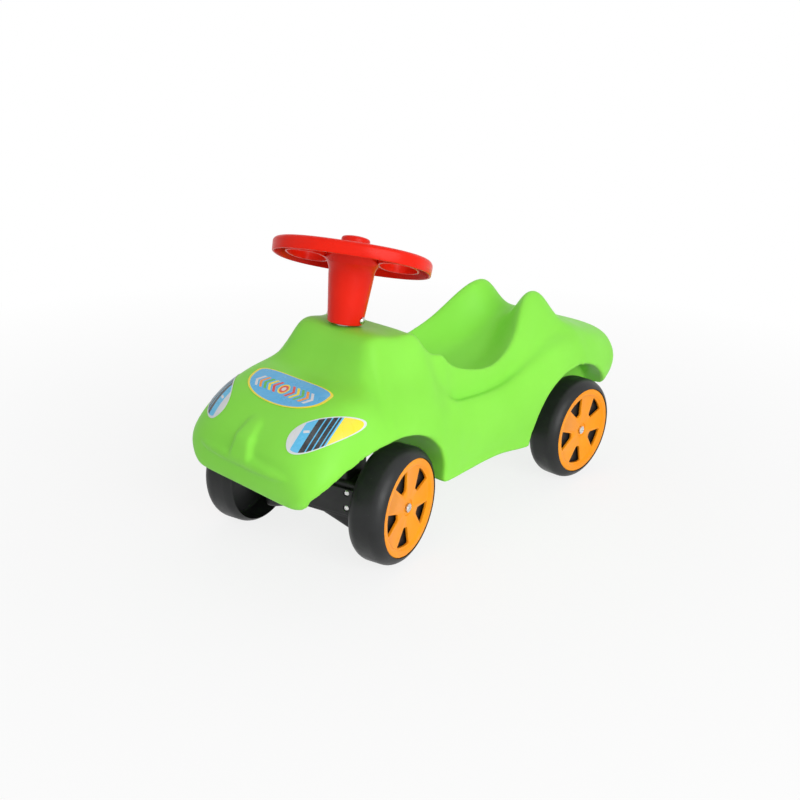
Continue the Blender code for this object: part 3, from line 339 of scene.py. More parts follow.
bushWhite = {
    "deep": (0.70, 0.69, 0.65), "pale": (0.80, 0.79, 0.76), "mottle": 60.0, "gloss": (0.40, 0.55),
    "grain": (1500.0, 0.00003), "waves": (90.0, 0.0001), "scuffs": (150.0, 0.2), "stretch": (1.0, 1.0, 1.0),
    "scuffColour": (0.45, 0.44, 0.42), "ior": 1.52, "specular": 0.40,
}
zincSteel = {
    "dark": (0.52, 0.52, 0.51), "bright": (0.80, 0.80, 0.79), "spangle": 420.0, "detail": 2.0,
    "span": (0.35, 0.65), "glossSpan": (0.3, 0.7), "gloss": (0.16, 0.34), "brush": (1800.0, 0.00002),
}


def mouldedPlastic(name, look):
    material, tree, shader = newFinish(name)
    mottle = spread(tree, noise(tree, look["mottle"], plastic["mottleDetail"]), plastic["span"])
    colour = blendColour(tree, mottle, look["deep"], look["pale"])
    scale, most = look["scuffs"]
    scuffs = noise(tree, scale, plastic["scuffDetail"], look["stretch"], plastic["scuffBreakUp"])
    scuffs = spread(tree, scuffs, plastic["scuffSpan"], (0.0, most))
    colour = blendColour(tree, scuffs, colour, look["scuffColour"])
    tree.links.new(colour, shader.inputs["Base Color"])
    gloss = noise(tree, look["mottle"] * plastic["glossRatio"], plastic["glossDetail"])
    gloss = spread(tree, gloss, plastic["span"], look["gloss"])
    worn = calc(tree, "MULTIPLY", scuffs, plastic["scuffRoughens"])
    tree.links.new(calc(tree, "ADD", gloss, worn), shader.inputs["Roughness"])
    waves = bumps(tree, *look["waves"], plastic["waveDetail"])
    grain = bumps(tree, *look["grain"], plastic["grainDetail"], normal=waves)
    tree.links.new(grain, shader.inputs["Normal"])
    shader.inputs["IOR"].default_value = look["ior"]
    shader.inputs["Specular IOR Level"].default_value = look["specular"]
    if "glow" in look:  # light soaks a little way into thin polyethylene
        shader.inputs["Subsurface Weight"].default_value = look["glow"]
        shader.inputs["Subsurface Radius"].default_value = plastic["glowReach"]
        shader.inputs["Subsurface Scale"].default_value = 1.0
    return material


def platedSteel(name, look):
    material, tree, shader = newFinish(name)
    spangle = noise(tree, look["spangle"], look["detail"])
    colour = blendColour(tree, spread(tree, spangle, look["span"]), look["dark"], look["bright"])
    tree.links.new(colour, shader.inputs["Base Color"])
    tree.links.new(spread(tree, spangle, look["glossSpan"], look["gloss"]), shader.inputs["Roughness"])
    tree.links.new(bumps(tree, *look["brush"], look["detail"]), shader.inputs["Normal"])
    shader.inputs["Metallic"].default_value = 1.0
    return material


green = mouldedPlastic("body_green", greenSkin)
red = mouldedPlastic("steering_red", redGloss)
orange = mouldedPlastic("hub_orange", orangeGloss)
black = mouldedPlastic("tyre_black", tyreBlack)
darkPlastic = mouldedPlastic("carrier_black", carrierBlack)
white = mouldedPlastic("bush_white", bushWhite)
steel = platedSteel("zinc_steel", zincSteel)
print("finishes made")


# Camera, floor and light

photoView = {
    "place": (0.80064, -0.92684, 0.58407), "yaw": 42.368, "pitch": 20.510, "roll": 1.939,
    "focalPixels": 1002.22, "framePixels": 800, "sensor": 36.0, "sight": 20.0,
}
studio = {
    "target": (0.0, 0.0, 0.15), "white": (1.0, 1.0, 1.0, 1.0), "world": 0.42,
    "floorSize": 24.0, "floorZ": -0.0004, "floorTone": 0.80, "floorMottle": 1.03,
    "floorGrain": (6.0, 2.0), "floorRough": 0.9, "floorSpecular": 0.1, "floorWhite": 0.82,
    "floorFade": (0.35, 1.2),  # the paper fades to plain white between these distances
    "panels": {  # way to the lamp, distance, size, power in watts
        "key": ((1.0, -0.35, 0.42), 2.4, 2.0, 42.0),
        "front": ((-0.35, -1.0, 0.7), 2.8, 2.2, 4.0),
        "top": ((-0.3, 0.4, 1.0), 2.6, 2.4, 8.0),
    },
}


def addCamera(view):
    yaw, pitch, roll = (math.radians(view[key]) for key in ("yaw", "pitch", "roll"))
    back = Vector((math.sin(yaw) * math.cos(pitch), -math.cos(yaw) * math.cos(pitch), math.sin(pitch)))
    level = (-back).cross(Vector((0, 0, 1))).normalized()
    upright = level.cross(-back)
    right = level * math.cos(roll) + upright * math.sin(roll)
    up = upright * math.cos(roll) - level * math.sin(roll)
    turn = Matrix((right, up, back)).transposed().to_4x4()
    lens = bpy.data.cameras.new("photo_view")
    lens.sensor_width = view["sensor"]
    lens.lens = view["focalPixels"] / view["framePixels"] * view["sensor"]
    lens.clip_end = view["sight"]
    camera = bpy.data.objects.new("photo_view", lens)
    camera.matrix_world = Matrix.Translation(view["place"]) @ turn
    bpy.context.scene.collection.objects.link(camera)
    bpy.context.scene.camera = camera


def seenDirectly(tree):
    path = tree.nodes.new("ShaderNodeLightPath")
    seen = calc(tree, "MAXIMUM", path.outputs["Is Camera Ray"], path.outputs["Is Glossy Ray"])
    return calc(tree, "MAXIMUM", seen, path.outputs["Is Transmission Ray"])


def mixShaders(tree, amount, under, over, surface):
    mix = tree.nodes.new("ShaderNodeMixShader")
    for link, socket in zip((amount, under, over), mix.inputs):
        tree.links.new(link, socket)
    tree.links.new(mix.outputs[0], surface)


def addSky(look):
    world = bpy.data.worlds.new("studio")
    bpy.context.scene.world = world
    world.use_nodes = True
    tree = world.node_tree
    sky = tree.nodes["Background"]
    paper = tree.nodes.new("ShaderNodeBackground")
    for node, strength in ((sky, look["world"]), (paper, 1.0)):
        node.inputs["Color"].default_value = look["white"]
        node.inputs["Strength"].default_value = strength
    surface = tree.nodes["World Output"].inputs["Surface"]
    mixShaders(tree, seenDirectly(tree), sky.outputs[0], paper.outputs[0], surface)


def addFloor(look):
    freshStart()
    bpy.ops.mesh.primitive_plane_add(size=look["floorSize"], location=(0, 0, look["floorZ"]))
    floor = bpy.context.object
    floor.name = "floor"
    material, tree, shader = newFinish("floor_paper")
    plain = look["floorTone"]
    pale = plain * look["floorMottle"]
    mottle = noise(tree, *look["floorGrain"])
    tree.links.new(blendColour(tree, mottle, (plain,) * 3, (pale,) * 3), shader.inputs["Base Color"])
    shader.inputs["Roughness"].default_value = look["floorRough"]
    shader.inputs["Specular IOR Level"].default_value = look["floorSpecular"]
    sheen = tree.nodes.new("ShaderNodeEmission")
    sheen.inputs["Color"].default_value = look["white"]
    sheen.inputs["Strength"].default_value = 1.0
    away = tree.nodes.new("ShaderNodeVectorMath")
    away.operation = "LENGTH"
    tree.links.new(tree.nodes.new("ShaderNodeTexCoord").outputs["Object"], away.inputs[0])
    fade = spread(tree, away.outputs["Value"], look["floorFade"], (look["floorWhite"], 1.0))
    amount = calc(tree, "MULTIPLY", seenDirectly(tree), fade)
    surface = tree.nodes["Material Output"].inputs["Surface"]
    mixShaders(tree, amount, shader.outputs[0], sheen.outputs[0], surface)
    floor.data.materials.append(material)


def addLamps(look):
    for name, (way, distance, size, power) in look["panels"].items():
        panel = bpy.data.lights.new(name, "AREA")
        panel.shape = "DISK"
        panel.size = size
        panel.energy = power
        lamp = bpy.data.objects.new(name, panel)
        direction = Vector(way).normalized()
        turn = direction.to_track_quat("Z", "Y").to_matrix().to_4x4()
        lamp.matrix_world = Matrix.Translation(Vector(look["target"]) + direction * distance) @ turn
        bpy.context.scene.collection.objects.link(lamp)


addCamera(photoView)
addSky(studio)
addFloor(studio)
addLamps(studio)
bpy.context.scene.view_settings.view_transform = "Standard"
print("camera, floor and light set")


# Body: a cage through cross sections, from top middle to belly middle, in millimetres above the axles

dash = 188  # top of the dash hump
bodySections = [  # place along the car, half widths between the two middles, all heights
    (-303, (30, 54, 70, 79, 84, 85, 84, 81, 76, 60),
     (73, 73, 71, 66, 59, 52, 45, 40, 35, 32, 31, 31)),
    (-296, (34, 60, 80, 92, 98, 99, 96, 91, 83, 64),
     (88, 88, 85, 78, 69, 60, 51, 42, 35, 30.5, 29, 29)),
    (-284, (36, 66, 88, 101, 108, 109, 106, 100, 92, 72),
     (102, 102, 99, 90, 79, 68, 57, 45, 35, 29, 27.5, 27.5)),
    (-266, (38, 71, 92, 105, 112, 114, 111, 106, 99, 78),
     (117, 117, 114, 104, 91, 78, 64, 48, 34, 27, 25.5, 25.5)),
    (-244, (40, 75, 96, 108, 114, 116, 113, 109, 105, 84),
     (129, 129, 125, 114, 99, 83, 67, 48, 33, 24.5, 22.5, 22.5)),
    (-220, (42, 78, 98, 110, 115, 116, 114, 111, 107, 88),
     (138, 138, 133, 120, 104, 87, 69, 47, 30, 21, 19, 19)),
    (-198, (44, 78, 99, 111, 116, 117, 115, 112, 109, 90),
     (143, 143, 138, 125, 108, 89, 70, 45, 26, 18, 16, 16)),
    (-180, (42, 62, 78, 98, 111, 117, 117, 114, 110, 92),
     (dash - 24, dash - 24, dash - 30, dash - 44, 126, 107, 85, 58, 30, 17, 14, 14)),
    (-163, (39, 56, 66, 86, 100, 112, 117, 115, 110, 94),
     (dash, dash, dash - 3, dash - 14, 140, 123, 102, 75, 35, 15, 12, 12)),
    (-130, (40, 57, 68, 85, 99, 110, 116, 114, 110, 94),
     (dash - 3, dash - 3, dash - 5, dash - 14, 141, 123, 102, 75, 34, 11, 7, 7)),
    (-104, (40, 58, 69, 85, 98, 109, 114, 113, 110, 94),
     (dash - 5, dash - 5, dash - 6, dash - 10, 142, 120, 98, 72, 32, 8, 4, 4)),
    (-90, (38, 58, 71, 85, 97, 107, 113, 112, 110, 94),
     (dash - 22, dash - 21, dash - 19, dash - 22, 138, 115, 94, 68, 30, 7, 3, 3)),
    (-76, (36, 62, 75, 86, 96, 105, 112, 111, 109, 94),
     (132, 133, 148, 152, 124, 106, 90, 65, 29, 7, 2, 2)),
    (-60, (34, 65, 78, 88, 97, 105, 111, 111, 109, 94),
     (109, 111, 139, 148, 108, 100, 86, 62, 29, 8, 2, 2)),
    (-40, (34, 70, 80, 88, 97, 105, 110, 110, 108, 94),
     (100, 102, 126, 129, 99, 95, 82, 60, 28, 10, 2, 2)),
    (15, (36, 73, 82, 88, 98, 106, 110, 110, 108, 94),
     (94, 96, 114, 115, 96, 92, 78, 55, 30, 14, 4, 2)),
    (55, (34, 70, 80, 87, 98, 106, 111, 111, 109, 94),
     (99, 101, 120, 121, 102, 97, 81, 57, 30, 9, 2, 0)),
    (92, (29, 60, 73, 86, 98, 107, 112, 112, 110, 94),
     (111, 114, 138, 138, 116, 107, 87, 61, 30, 6, -2, -4)),
    (124, (21, 45, 61, 81, 98, 108, 113, 113, 110, 80),
     (129, 136, 167, 165, 130, 116, 94, 65, 30, 6, -12, -13)),
    (150, (17, 37, 53, 78, 98, 109, 114, 113, 110, 72),
     (144, 153, 180, 179, 139, 122, 99, 69, 30, 6, -18, -20)),
    (176, (17, 37, 54, 78, 98, 109, 114, 113, 110, 72),
     (152, 157, 176, 173, 140, 123, 100, 71, 30, 6, -18, -20)),
    (199, (24, 42, 56, 80, 98, 108, 113, 112, 109, 72),
     (147, 148, 152, 148, 138, 122, 102, 73, 32, 8, -16, -20)),
    (216, (27, 46, 61, 83, 98, 107, 111, 110, 107, 76),
     (142, 142, 142, 140, 132, 118, 99, 73, 38, 17, -2, -5)),
    (240, (30, 50, 66, 84, 98, 105, 109, 108, 104, 80),
     (133, 133, 132, 130, 125, 113, 97, 73, 45, 28, 14, 10)),
    (275, (30, 50, 66, 83, 95, 102, 105, 103, 96, 76),
     (124, 124, 123, 121, 115, 104, 89, 72, 55, 44, 40, 40)),
    (295, (30, 50, 67, 81, 91, 97, 98, 95, 88, 66),
     (117, 117, 116, 113, 107, 97, 85, 73, 61, 50, 45, 45)),
    (307, (27, 45, 59, 70, 78, 82, 83, 81, 74, 54),
     (108, 108, 107, 105, 100, 93, 84, 74, 63, 55, 51, 51)),
]
bodyShape = {
    "axleHeight": 70, "rounds": 4, "levels": 3, "creaseColumn": 4, "creaseWeight": 0.30,
    "creaseRows": (13, 21), "weld": 0.0001,
    "tunnelFront": -0.291, "tunnelPeak": -0.170, "tunnelFoot": 0.084, "tunnelRise": 0.072,
    "tunnelFore": 0.134, "tunnelAft": 0.0845, "tunnelLow": 0.030, "tunnelSteps": 40, "archY": 0.186,
    "archZ": 0.060, "archR": 0.100, "lobeHalf": 0.068, "reach": 0.150, "seatR": 0.0223, "seatFoot": 0.1918,
    "seatTop": 0.30, "boreR": 0.0071, "boreLow": 0.0574, "boreTop": 0.25,
    "noseFront": -0.310, "noseFoot": 0.134, "noseDeep": 0.024, "noseRound": 0.005,
    "noseRows": ((0.0, 0.0180, 0.0), (0.026, 0.0140, 0.008), (0.040, 0.0110, 0.024), (0.050, 0.0090, 0.042)),
    "bumperAt": (0, -0.3030, 0.1335), "bumperR": 0.0055, "bumperHalf": 0.076, "bumperTall": 1.25,
    "bumperBend": 0.0025, "bumperSteps": 20, "bumperThins": 0.8, "bumperPower": 5,
    "voxel": 0.0021, "soften": 0.5, "softenAll": 2, "softenEdges": 18, "edgeReach": 0.008,
    "seamReach": 0.008, "softenNose": 14, "softenBumper": 4,
}


def cageThrough(points, rounds):
    mirrored = (-1, 1, 1)
    target = np.array(points)
    cage = target.copy()
    for _ in range(rounds):  # a smooth surface lies at its cage's mean, weighed 1, 4, 1 each way
        left = cage[:, 1:2] * mirrored
        right = cage[:, -2:-1] * mirrored
        wide = np.concatenate((left, cage, right), axis=1)
        along = wide[1:-1] * 4 + wide[:-2] + wide[2:]
        surface = (along[:, 1:-1] * 4 + along[:, :-2] + along[:, 2:]) / 36
        cage[1:-1] += target[1:-1] - surface
        cage[:, (0, -1), 0] = 0
    return cage


def layCage(skin, shape):
    rows = []
    for y, widths, heights in bodySections:
        points = zip((0, *widths, 0), heights)
        rows.append([(x * mm, y * mm, (z + shape["axleHeight"]) * mm) for x, z in points])
    cage = cageThrough(rows, shape["rounds"]).reshape(-1, 3)
    corners = skin.data.vertices
    order = sorted(range(len(corners)), key=lambda i: (round(corners[i].co.y, 4), corners[i].co.x))
    spotOf = {}
    for spot, index in enumerate(order):
        corners[index].co = cage[spot]
        spotOf[index] = divmod(spot, len(rows[0]))
    return spotOf


def creaseFlank(skin, spotOf, shape):
    mesh = bmesh.from_edit_mesh(skin.data)
    crease = mesh.edges.layers.float.get("crease_edge") or mesh.edges.layers.float.new("crease_edge")
    low, high = shape["creaseRows"]
    for edge in mesh.edges:
        spots = [spotOf[vert.index] for vert in edge.verts]
        if all(column == shape["creaseColumn"] and low <= row <= high for row, column in spots):
            edge[crease] = shape["creaseWeight"]
    bmesh.update_edit_mesh(skin.data)


def closeEnds(skin, spotOf):
    bpy.ops.mesh.select_mode(type="VERT")
    for row in (0, len(bodySections) - 1):
        bpy.ops.mesh.select_all(action="DESELECT")
        mesh = bmesh.from_edit_mesh(skin.data)
        for vert in mesh.verts:
            vert.select = spotOf[vert.index][0] == row
        mesh.select_flush(True)
        bmesh.update_edit_mesh(skin.data)
        bpy.ops.mesh.edge_face_add()


def addBodySkin(shape):
    freshStart()
    across, along = len(bodySections[0][2]) - 1, len(bodySections) - 1
    bpy.ops.mesh.primitive_grid_add(x_subdivisions=across, y_subdivisions=along, size=1.0)
    skin = bpy.context.object
    skin.name = "body"
    spotOf = layCage(skin, shape)
    bpy.ops.object.mode_set(mode="EDIT")
    creaseFlank(skin, spotOf, shape)
    closeEnds(skin, spotOf)
    bpy.ops.object.mode_set(mode="OBJECT")
    applyModifier(skin, "mirror", "MIRROR", use_clip=True, merge_threshold=shape["weld"])
    pick(skin)
    bpy.ops.object.mode_set(mode="EDIT")
    faceOut()
    applyModifier(skin, "surface", "SUBSURF", levels=shape["levels"], render_levels=shape["levels"])
    return skin


def addNose(shape):
    rings = []
    for height, half, setBack in shape["noseRows"]:  # from its flat foot upwards
        front = shape["noseFront"] + setBack
        back = front + shape["noseDeep"]
        corners = ((-half, front), (half, front), (half, back), (-half, back))
        rings.append([(x, y, shape["noseFoot"] + height) for x, y in corners])
    nose = ringLoft("nose", rings)
    roundEdges(nose, shape["noseRound"], segments=4)
    return nose


def addBumper(shape):  # a slim bar, bent back with the chin and thinner at its ends
    x, y, z = shape["bumperAt"]
    rings = []
    for i in range(shape["bumperSteps"] + 1):
        along = 2 * i / shape["bumperSteps"] - 1
        radius = shape["bumperR"] * (1 - shape["bumperThins"] * abs(along) ** shape["bumperPower"])
        middle = y + shape["bumperBend"] * along ** 2
        ring = roundRing(radius, x + shape["bumperHalf"] * along, sides["rod"])
        rings.append([(across, middle + out, z + up * shape["bumperTall"]) for out, up, across in ring])
    return ringLoft("bumper", rings)


def addTunnel(shape):
    front, peak, foot, low = (shape[key] for key in ("tunnelFront", "tunnelPeak", "tunnelFoot", "tunnelLow"))
    rise, fore, aft = (shape[key] for key in ("tunnelRise", "tunnelFore", "tunnelAft"))
    ratio = (front - peak) / fore
    outline = [(front, low), (front, foot + rise * math.sqrt(1 - ratio * ratio))]
    for i in range(shape["tunnelSteps"] + 1):
        angle = math.radians(180 - 180 * i / shape["tunnelSteps"])
        y = peak + (fore if math.cos(angle) < 0 else aft) * math.cos(angle)
        if y > front:
            outline.append((y, foot + rise * math.sin(angle)))
    outline.append((peak + aft, low))
    return ringLoft("tunnel", [[(side * shape["reach"], y, z) for y, z in outline] for side in (-1, 1)])


def addWell(shape, side):
    well = rod("well", shape["archR"], shape["lobeHalf"], shape["reach"], sides["round"])
    return place(well, Matrix.Translation((0, shape["archY"], shape["archZ"])) @ turned(90 * side, "Y"))


def surfaceTree(piece):
    mesh = bmesh.new()
    mesh.from_mesh(piece.data)
    made = BVHTree.FromBMesh(mesh)
    mesh.free()
    return made


def softenSeams(body, name, surface, others, reach, rounds):  # smooths where a surface meets the others
    group = body.vertex_groups.new(name=name)
    for vert in body.data.vertices:
        near = surface.find_nearest(vert.co, reach)[3]
        if near is not None:
            gaps = [tree.find_nearest(vert.co, reach)[3] for tree in others]
            gaps = [gap for gap in gaps if gap is not None]
            if gaps:
                group.add([vert.index], 1 - max(near, min(gaps)) / reach, "REPLACE")
    applyModifier(body, name, "SMOOTH", factor=bodyShape["soften"], iterations=rounds, vertex_group=name)


def makeBody(shape):
    body = addBodySkin(shape)
    skin = surfaceTree(body)
    nose, bumper = addNose(shape), addBumper(shape)
    noseTree, bumperTree = surfaceTree(nose), surfaceTree(bumper)
    combine(body, nose, "UNION")
    combine(body, bumper, "UNION")
    outside = surfaceTree(body)
    cutters = [addTunnel(shape), addWell(shape, 1), addWell(shape, -1)]
    insides = [surfaceTree(cutter) for cutter in cutters]
    for cutter in cutters:
        combine(body, cutter)
    seat = rod("seat", shape["seatR"], shape["seatFoot"], shape["seatTop"], sides["seat"])
    combine(body, place(seat, steerFrame()))
    bore = rod("bore", shape["boreR"], shape["boreLow"], shape["boreTop"], sides["rod"])
    combine(body, place(bore, steerFrame()))
    applyModifier(body, "remesh", "REMESH", mode="VOXEL", voxel_size=shape["voxel"], use_smooth_shade=True)
    applyModifier(body, "soften", "SMOOTH", factor=shape["soften"], iterations=shape["softenAll"])
    softenSeams(body, "edges", outside, insides, shape["edgeReach"], shape["softenEdges"])
    softenSeams(body, "nose", skin, [noseTree], shape["seamReach"], shape["softenNose"])
    softenSeams(body, "bumper", skin, [bumperTree], shape["seamReach"], shape["softenBumper"])
    body.vertex_groups.clear()
    pick(body)
    bpy.ops.object.shade_smooth()
    return body


body = makeBody(bodyShape)
dress(body, green, "root", "body_green", "body_shell")
print("body made", len(body.data.polygons))


# Wheels: tyre with its web and hub, five-window disc, domed push cap

tyreSize = {
    "radius": 0.070, "width": 0.048, "shoulder": 0.016, "wall": 0.005, "webDepth": 0.010, "webThick": 0.004,
    "hubR": 0.011, "hubDepth": 0.0088, "hubLength": 0.0412, "boreR": 0.0042, "room": 0.0005,
    "outerSteps": 9, "innerSteps": 8, "wallDraft": 0.0004, "webRound": 0.002, "hubRound": 0.0016,
    "endRound": 0.0006, "lipRound": 0.001,
}
disc = {
    "radius": 0.0585, "recess": 0.0014, "ring": 0.0075, "sink": 0.0026, "thick": 0.003, "dishR": 0.0095,
    "dishDepth": 0.0014, "edge": 0.0012, "edgeSteps": 5, "ramp": 0.0008, "rampSteps": 4, "skirt": 0.0022,
    "hole": 0.0045, "hubWall": 0.001, "gap": 0.0003, "fineEdge": 0.0004,
    "windows": 5, "phase": -12.0, "inR": 0.0235, "outR": 0.0455, "inHalf": 0.0040, "outHalf": 0.0145,
    "bulge": 0.0015, "bulgeHalf": 0.4, "windowRound": 0.0016, "windowLow": -0.02, "windowHigh": 0.01,
}
pushCap = {
    "radius": 0.0055, "depth": 0.0022, "dome": 0.0016, "middle": 0.0006, "wall": 0.0004, "edge": 0.0006,
    "hole": 0.0043, "shoulder": 0.0002, "shoulderAt": 0.96, "peak": 0.92,
    "rows": ((0.30, 0.90), (0.62, 0.72), (0.84, 0.40)),  # shares of the radius and of the dome
}


def makeTyre(size):
    flat = size["radius"] - size["shoulder"]
    lip = disc["radius"] + size["room"]
    start = math.degrees(math.acos((lip - flat) / size["shoulder"]))
    inner = size["radius"] - size["wall"]
    end = math.degrees(math.acos((inner - flat) / size["shoulder"]))
    hubR, hubTop = size["hubR"], -size["hubDepth"]
    hubEnd = hubTop - size["hubLength"]
    web = -size["webDepth"]
    back = web - size["webThick"]
    profile = arcPoints((flat, -size["shoulder"]), size["shoulder"], start, 0, size["outerSteps"])
    inward = (flat, size["shoulder"] - size["width"])
    profile += arcPoints(inward, size["shoulder"], 0, -end, size["innerSteps"])
    profile += [
        (inner - size["wallDraft"], back - size["webRound"]), (inner - size["webRound"], back),
        (hubR + size["hubRound"], back), (hubR, back - size["hubRound"]),
        (hubR, hubEnd + size["endRound"]), (hubR - size["endRound"], hubEnd), (size["boreR"], hubEnd),
        (size["boreR"], hubTop), (hubR, hubTop), (hubR, web), (lip - size["lipRound"], web),
        (lip, web + size["lipRound"]),
    ]
    return turnedPiece("tyre", profile, sides["wheel"])


def makeDisc(size):
    top = -size["recess"]
    face = top - size["sink"]
    dish = face - size["dishDepth"]
    back = face - size["thick"]
    skirt = size["gap"] - tyreSize["webDepth"]
    floor = size["gap"] - tyreSize["hubDepth"]
    outer, dishR, hole, edge, ramp = (size[key] for key in ("radius", "dishR", "hole", "edge", "ramp"))
    ring = outer - size["ring"]
    foot = ring - size["sink"]
    profile = [(hole, dish), (dishR - ramp / 2, dish), (dishR, dish + ramp / 2)]
    profile += arcPoints((dishR + ramp, face - ramp), ramp, 180, 90, size["rampSteps"])
    profile += [(foot - ramp / 2, face), (foot + ramp / 3, face + ramp / 2)]
    profile += [(ring - ramp / 2, top - ramp / 2), (ring + ramp / 2, top)]
    profile += arcPoints((outer - edge, top - edge), edge, 90, 0, size["edgeSteps"])
    profile += [
        (outer, skirt), (outer - size["skirt"], skirt), (outer - size["skirt"], back),
        (tyreSize["hubR"] + size["hubWall"], back), (tyreSize["hubR"], floor), (hole, floor),
    ]
    piece = turnedPiece("disc", profile, sides["wheel"])
    for i in range(size["windows"]):
        combine(piece, place(windowBlock(size), turned(size["phase"] + 360 * i / size["windows"], "Z")))
    breakEdges(piece, size["fineEdge"])
    smoothShade(piece, "soft")
    return piece


def windowBlock(size):
    inR, outR, inHalf, outHalf = (size[key] for key in ("inR", "outR", "inHalf", "outHalf"))
    bulged, flat = outR + size["bulge"], outHalf * size["bulgeHalf"]
    outline = [(inR, -inHalf), (outR, -outHalf), (bulged, -flat)]
    outline += [(bulged, flat), (outR, outHalf), (inR, inHalf)]
    block = prism("window", outline, size["windowLow"], size["windowHigh"])
    roundEdges(block, size["windowRound"])
    return block


def makePushCap(size):
    seat = disc["gap"] - disc["recess"] - disc["sink"] - disc["dishDepth"]
    crown = seat + size["depth"]
    r, dome, hole, roof = size["radius"], size["dome"], size["hole"], crown - size["wall"]
    profile = [(size["middle"], crown + dome * size["peak"])]
    profile += [(r * across, crown + dome * up) for across, up in size["rows"]]
    profile += [(r * size["shoulderAt"], crown + size["shoulder"]), (r, crown - size["edge"]), (r, seat)]
    profile += [(hole, seat), (hole, roof), (size["middle"], roof)]
    return turnedPiece("push_cap", profile, sides["cap"])


def makeWheels():
    tyre, hubDisc, cap = makeTyre(tyreSize), makeDisc(disc), makePushCap(pushCap)
    for piece in (tyre, cap):
        smoothShade(piece)
    for name, spot in wheelPlaces().items():
        wheelBody = f"{name}_wheel"
        dress(copyPiece(tyre, f"{name}_wheel_tyre", spot), black, wheelBody, "tyre_black", f"{name}_tyre")
        dress(copyPiece(hubDisc, f"{name}_hub_disc", spot), orange, wheelBody, "hub_orange", f"{name}_hubcap")
        axleBody = "steering" if name.startswith("front") else "root"
        dress(copyPiece(cap, f"{name}_push_cap", spot), steel, axleBody, "steel", f"{name}_axle_cap")
    for piece in (tyre, hubDisc, cap):
        bpy.data.objects.remove(piece, do_unlink=True)


makeWheels()
print("wheels made")


# Steering wheel, horn and the bolt through the column

column = {
    "footR": 0.0208, "topR": 0.0262, "height": 0.054, "wall": 0.003, "socketR": 0.0085, "flareR": 0.0325,
    "flareDrop": 0.010, "flareStart": 0.4, "flarePower": 1.6, "flareSteps": 6, "coneSteps": 5,
    "footInset": 0.0008, "footRound": 0.0009, "blank": 0.100, "shaftR": 0.0042, "shaftTop": 0.2483,
    "ribs": 8, "ribFrom": 0.028, "ribShort": 0.050, "ribLong": 0.066, "ribThick": 0.0018, "ribDrop": 0.009,
    "boltRise": 0.0065,
}
horn = {
    "radius": 0.0166, "room": 0.0003, "proud": 0.0156, "depth": 0.025, "wall": 0.002, "pocket": 0.020,
    "pocketTop": 0.1, "middle": 0.0012, "crown": 0.6, "rows": ((0.35, 0.55), (0.62, 0.38)), "edge": 0.0034,
    "edgeTurn": 80, "edgeSteps": 6, "roofSide": 2.0, "roofMiddle": 1.6,
}
bolt = {
    "shankR": 0.0020, "holeR": 0.0022, "clear": 0.0010, "nutLong": 0.0030, "threadCut": 0.05,
    "head": ((0.0040, 0.0), (0.0044, 0.0004), (0.0044, 0.0013), (0.0038, 0.0023), (0.0024, 0.0029)),
    "nut": ((0.0039, 0.0003), (0.0044, 0.0007), (0.0044, 0.0026), (0.0039, 0.0030)),
}


def makeRim(size):
    edge, draft, wall, plate, depth = (size[key] for key in ("edge", "draft", "wall", "plate", "depth"))
    inner = draft + wall * size["thinning"]
    turns = [math.radians(size["edgeTurn"] * i) for i in range(90 // size["edgeTurn"] + 1)]
    steps = [(edge + size["flat"], 0.0)]
    steps += [(edge - edge * math.sin(turn), -edge + edge * math.cos(turn)) for turn in turns]
    steps += [(draft + inset, up - depth) for inset, up in size["footOut"]]
    steps += [(inner + inset, up - depth) for inset, up in size["footIn"]]
    steps += [(wall + draft + inset, up - plate) for inset, up in size["fillet"]]
    rings = []
    for inset, height in steps:
        outline = squircle(size["halfX"] - inset, size["halfY"] - inset, size["power"], sides["wheel"])
        rings.append([(x, y, height) for x, y in outline])
    return place(ringLoft("steering_rim", rings), rimFrame())


def makeColumn(size):
    footR, topR, wall = size["footR"], size["topR"], size["wall"]
    profile = [(footR - size["footInset"], 0.0), (footR, size["footRound"])]
    steps = size["coneSteps"]
    for i in range(1, steps + 1):
        profile.append((footR + (topR - footR) * i / steps, size["height"] * i / steps))
    rise = rim["rise"] - size["flareDrop"]
    low = size["height"] + size["flareDrop"] * size["flareStart"]
    for i in range(1, size["flareSteps"] + 1):
        share = i / size["flareSteps"]
        out = share ** size["flarePower"]
        profile.append((topR + (size["flareR"] - topR) * out, low + (rise - low) * share))
    profile.append((size["flareR"], size["blank"]))
    piece = turnedPiece("column", profile, sides["round"], "capped")
    hollow = (
        (size["socketR"], size["height"]), (topR - wall, size["height"]), (footR - wall, -wall),
        (size["socketR"], -wall),
    )
    combine(piece, turnedPiece("hollow", hollow, sides["seat"]))
    combine(piece, rod("socket", size["shaftR"], -wall, size["shaftTop"] - rim["foot"], sides["rod"]))
    place(piece, steerFrame(rim["foot"]))
    top = addBox("top", (-past, -past, -rim["plate"] / 2), (past, past, past))
    combine(piece, place(top, rimFrame()))
    hole = rod("bolt", bolt["holeR"], -past, past, sides["screw"])
    combine(piece, place(hole, boltFrame()))
    return piece


def boltFrame():
    return steerFrame(rim["foot"] + column["boltRise"]) @ turned(90, "Y")


def makeRib(size, number):  # a web from the flare out to the skirt
    half, top = size["ribThick"] / 2, -rim["plate"] / 2
    out = size["ribShort"] if number % 4 in (0, 3) else size["ribLong"]
    rib = addBox("rib", (size["ribFrom"], -half, -size["ribDrop"]), (out, half, top))
    return place(rib, rimFrame() @ turned(360 * (number + 0.5) / size["ribs"], "Z"))


def gripOutline(side, wider=0.0):
    halfX, halfY = rim["gripHalfX"] + wider, rim["gripHalfY"] + wider
    return squircle(halfX, halfY, rim["gripPower"], sides["round"], side * rim["gripX"])


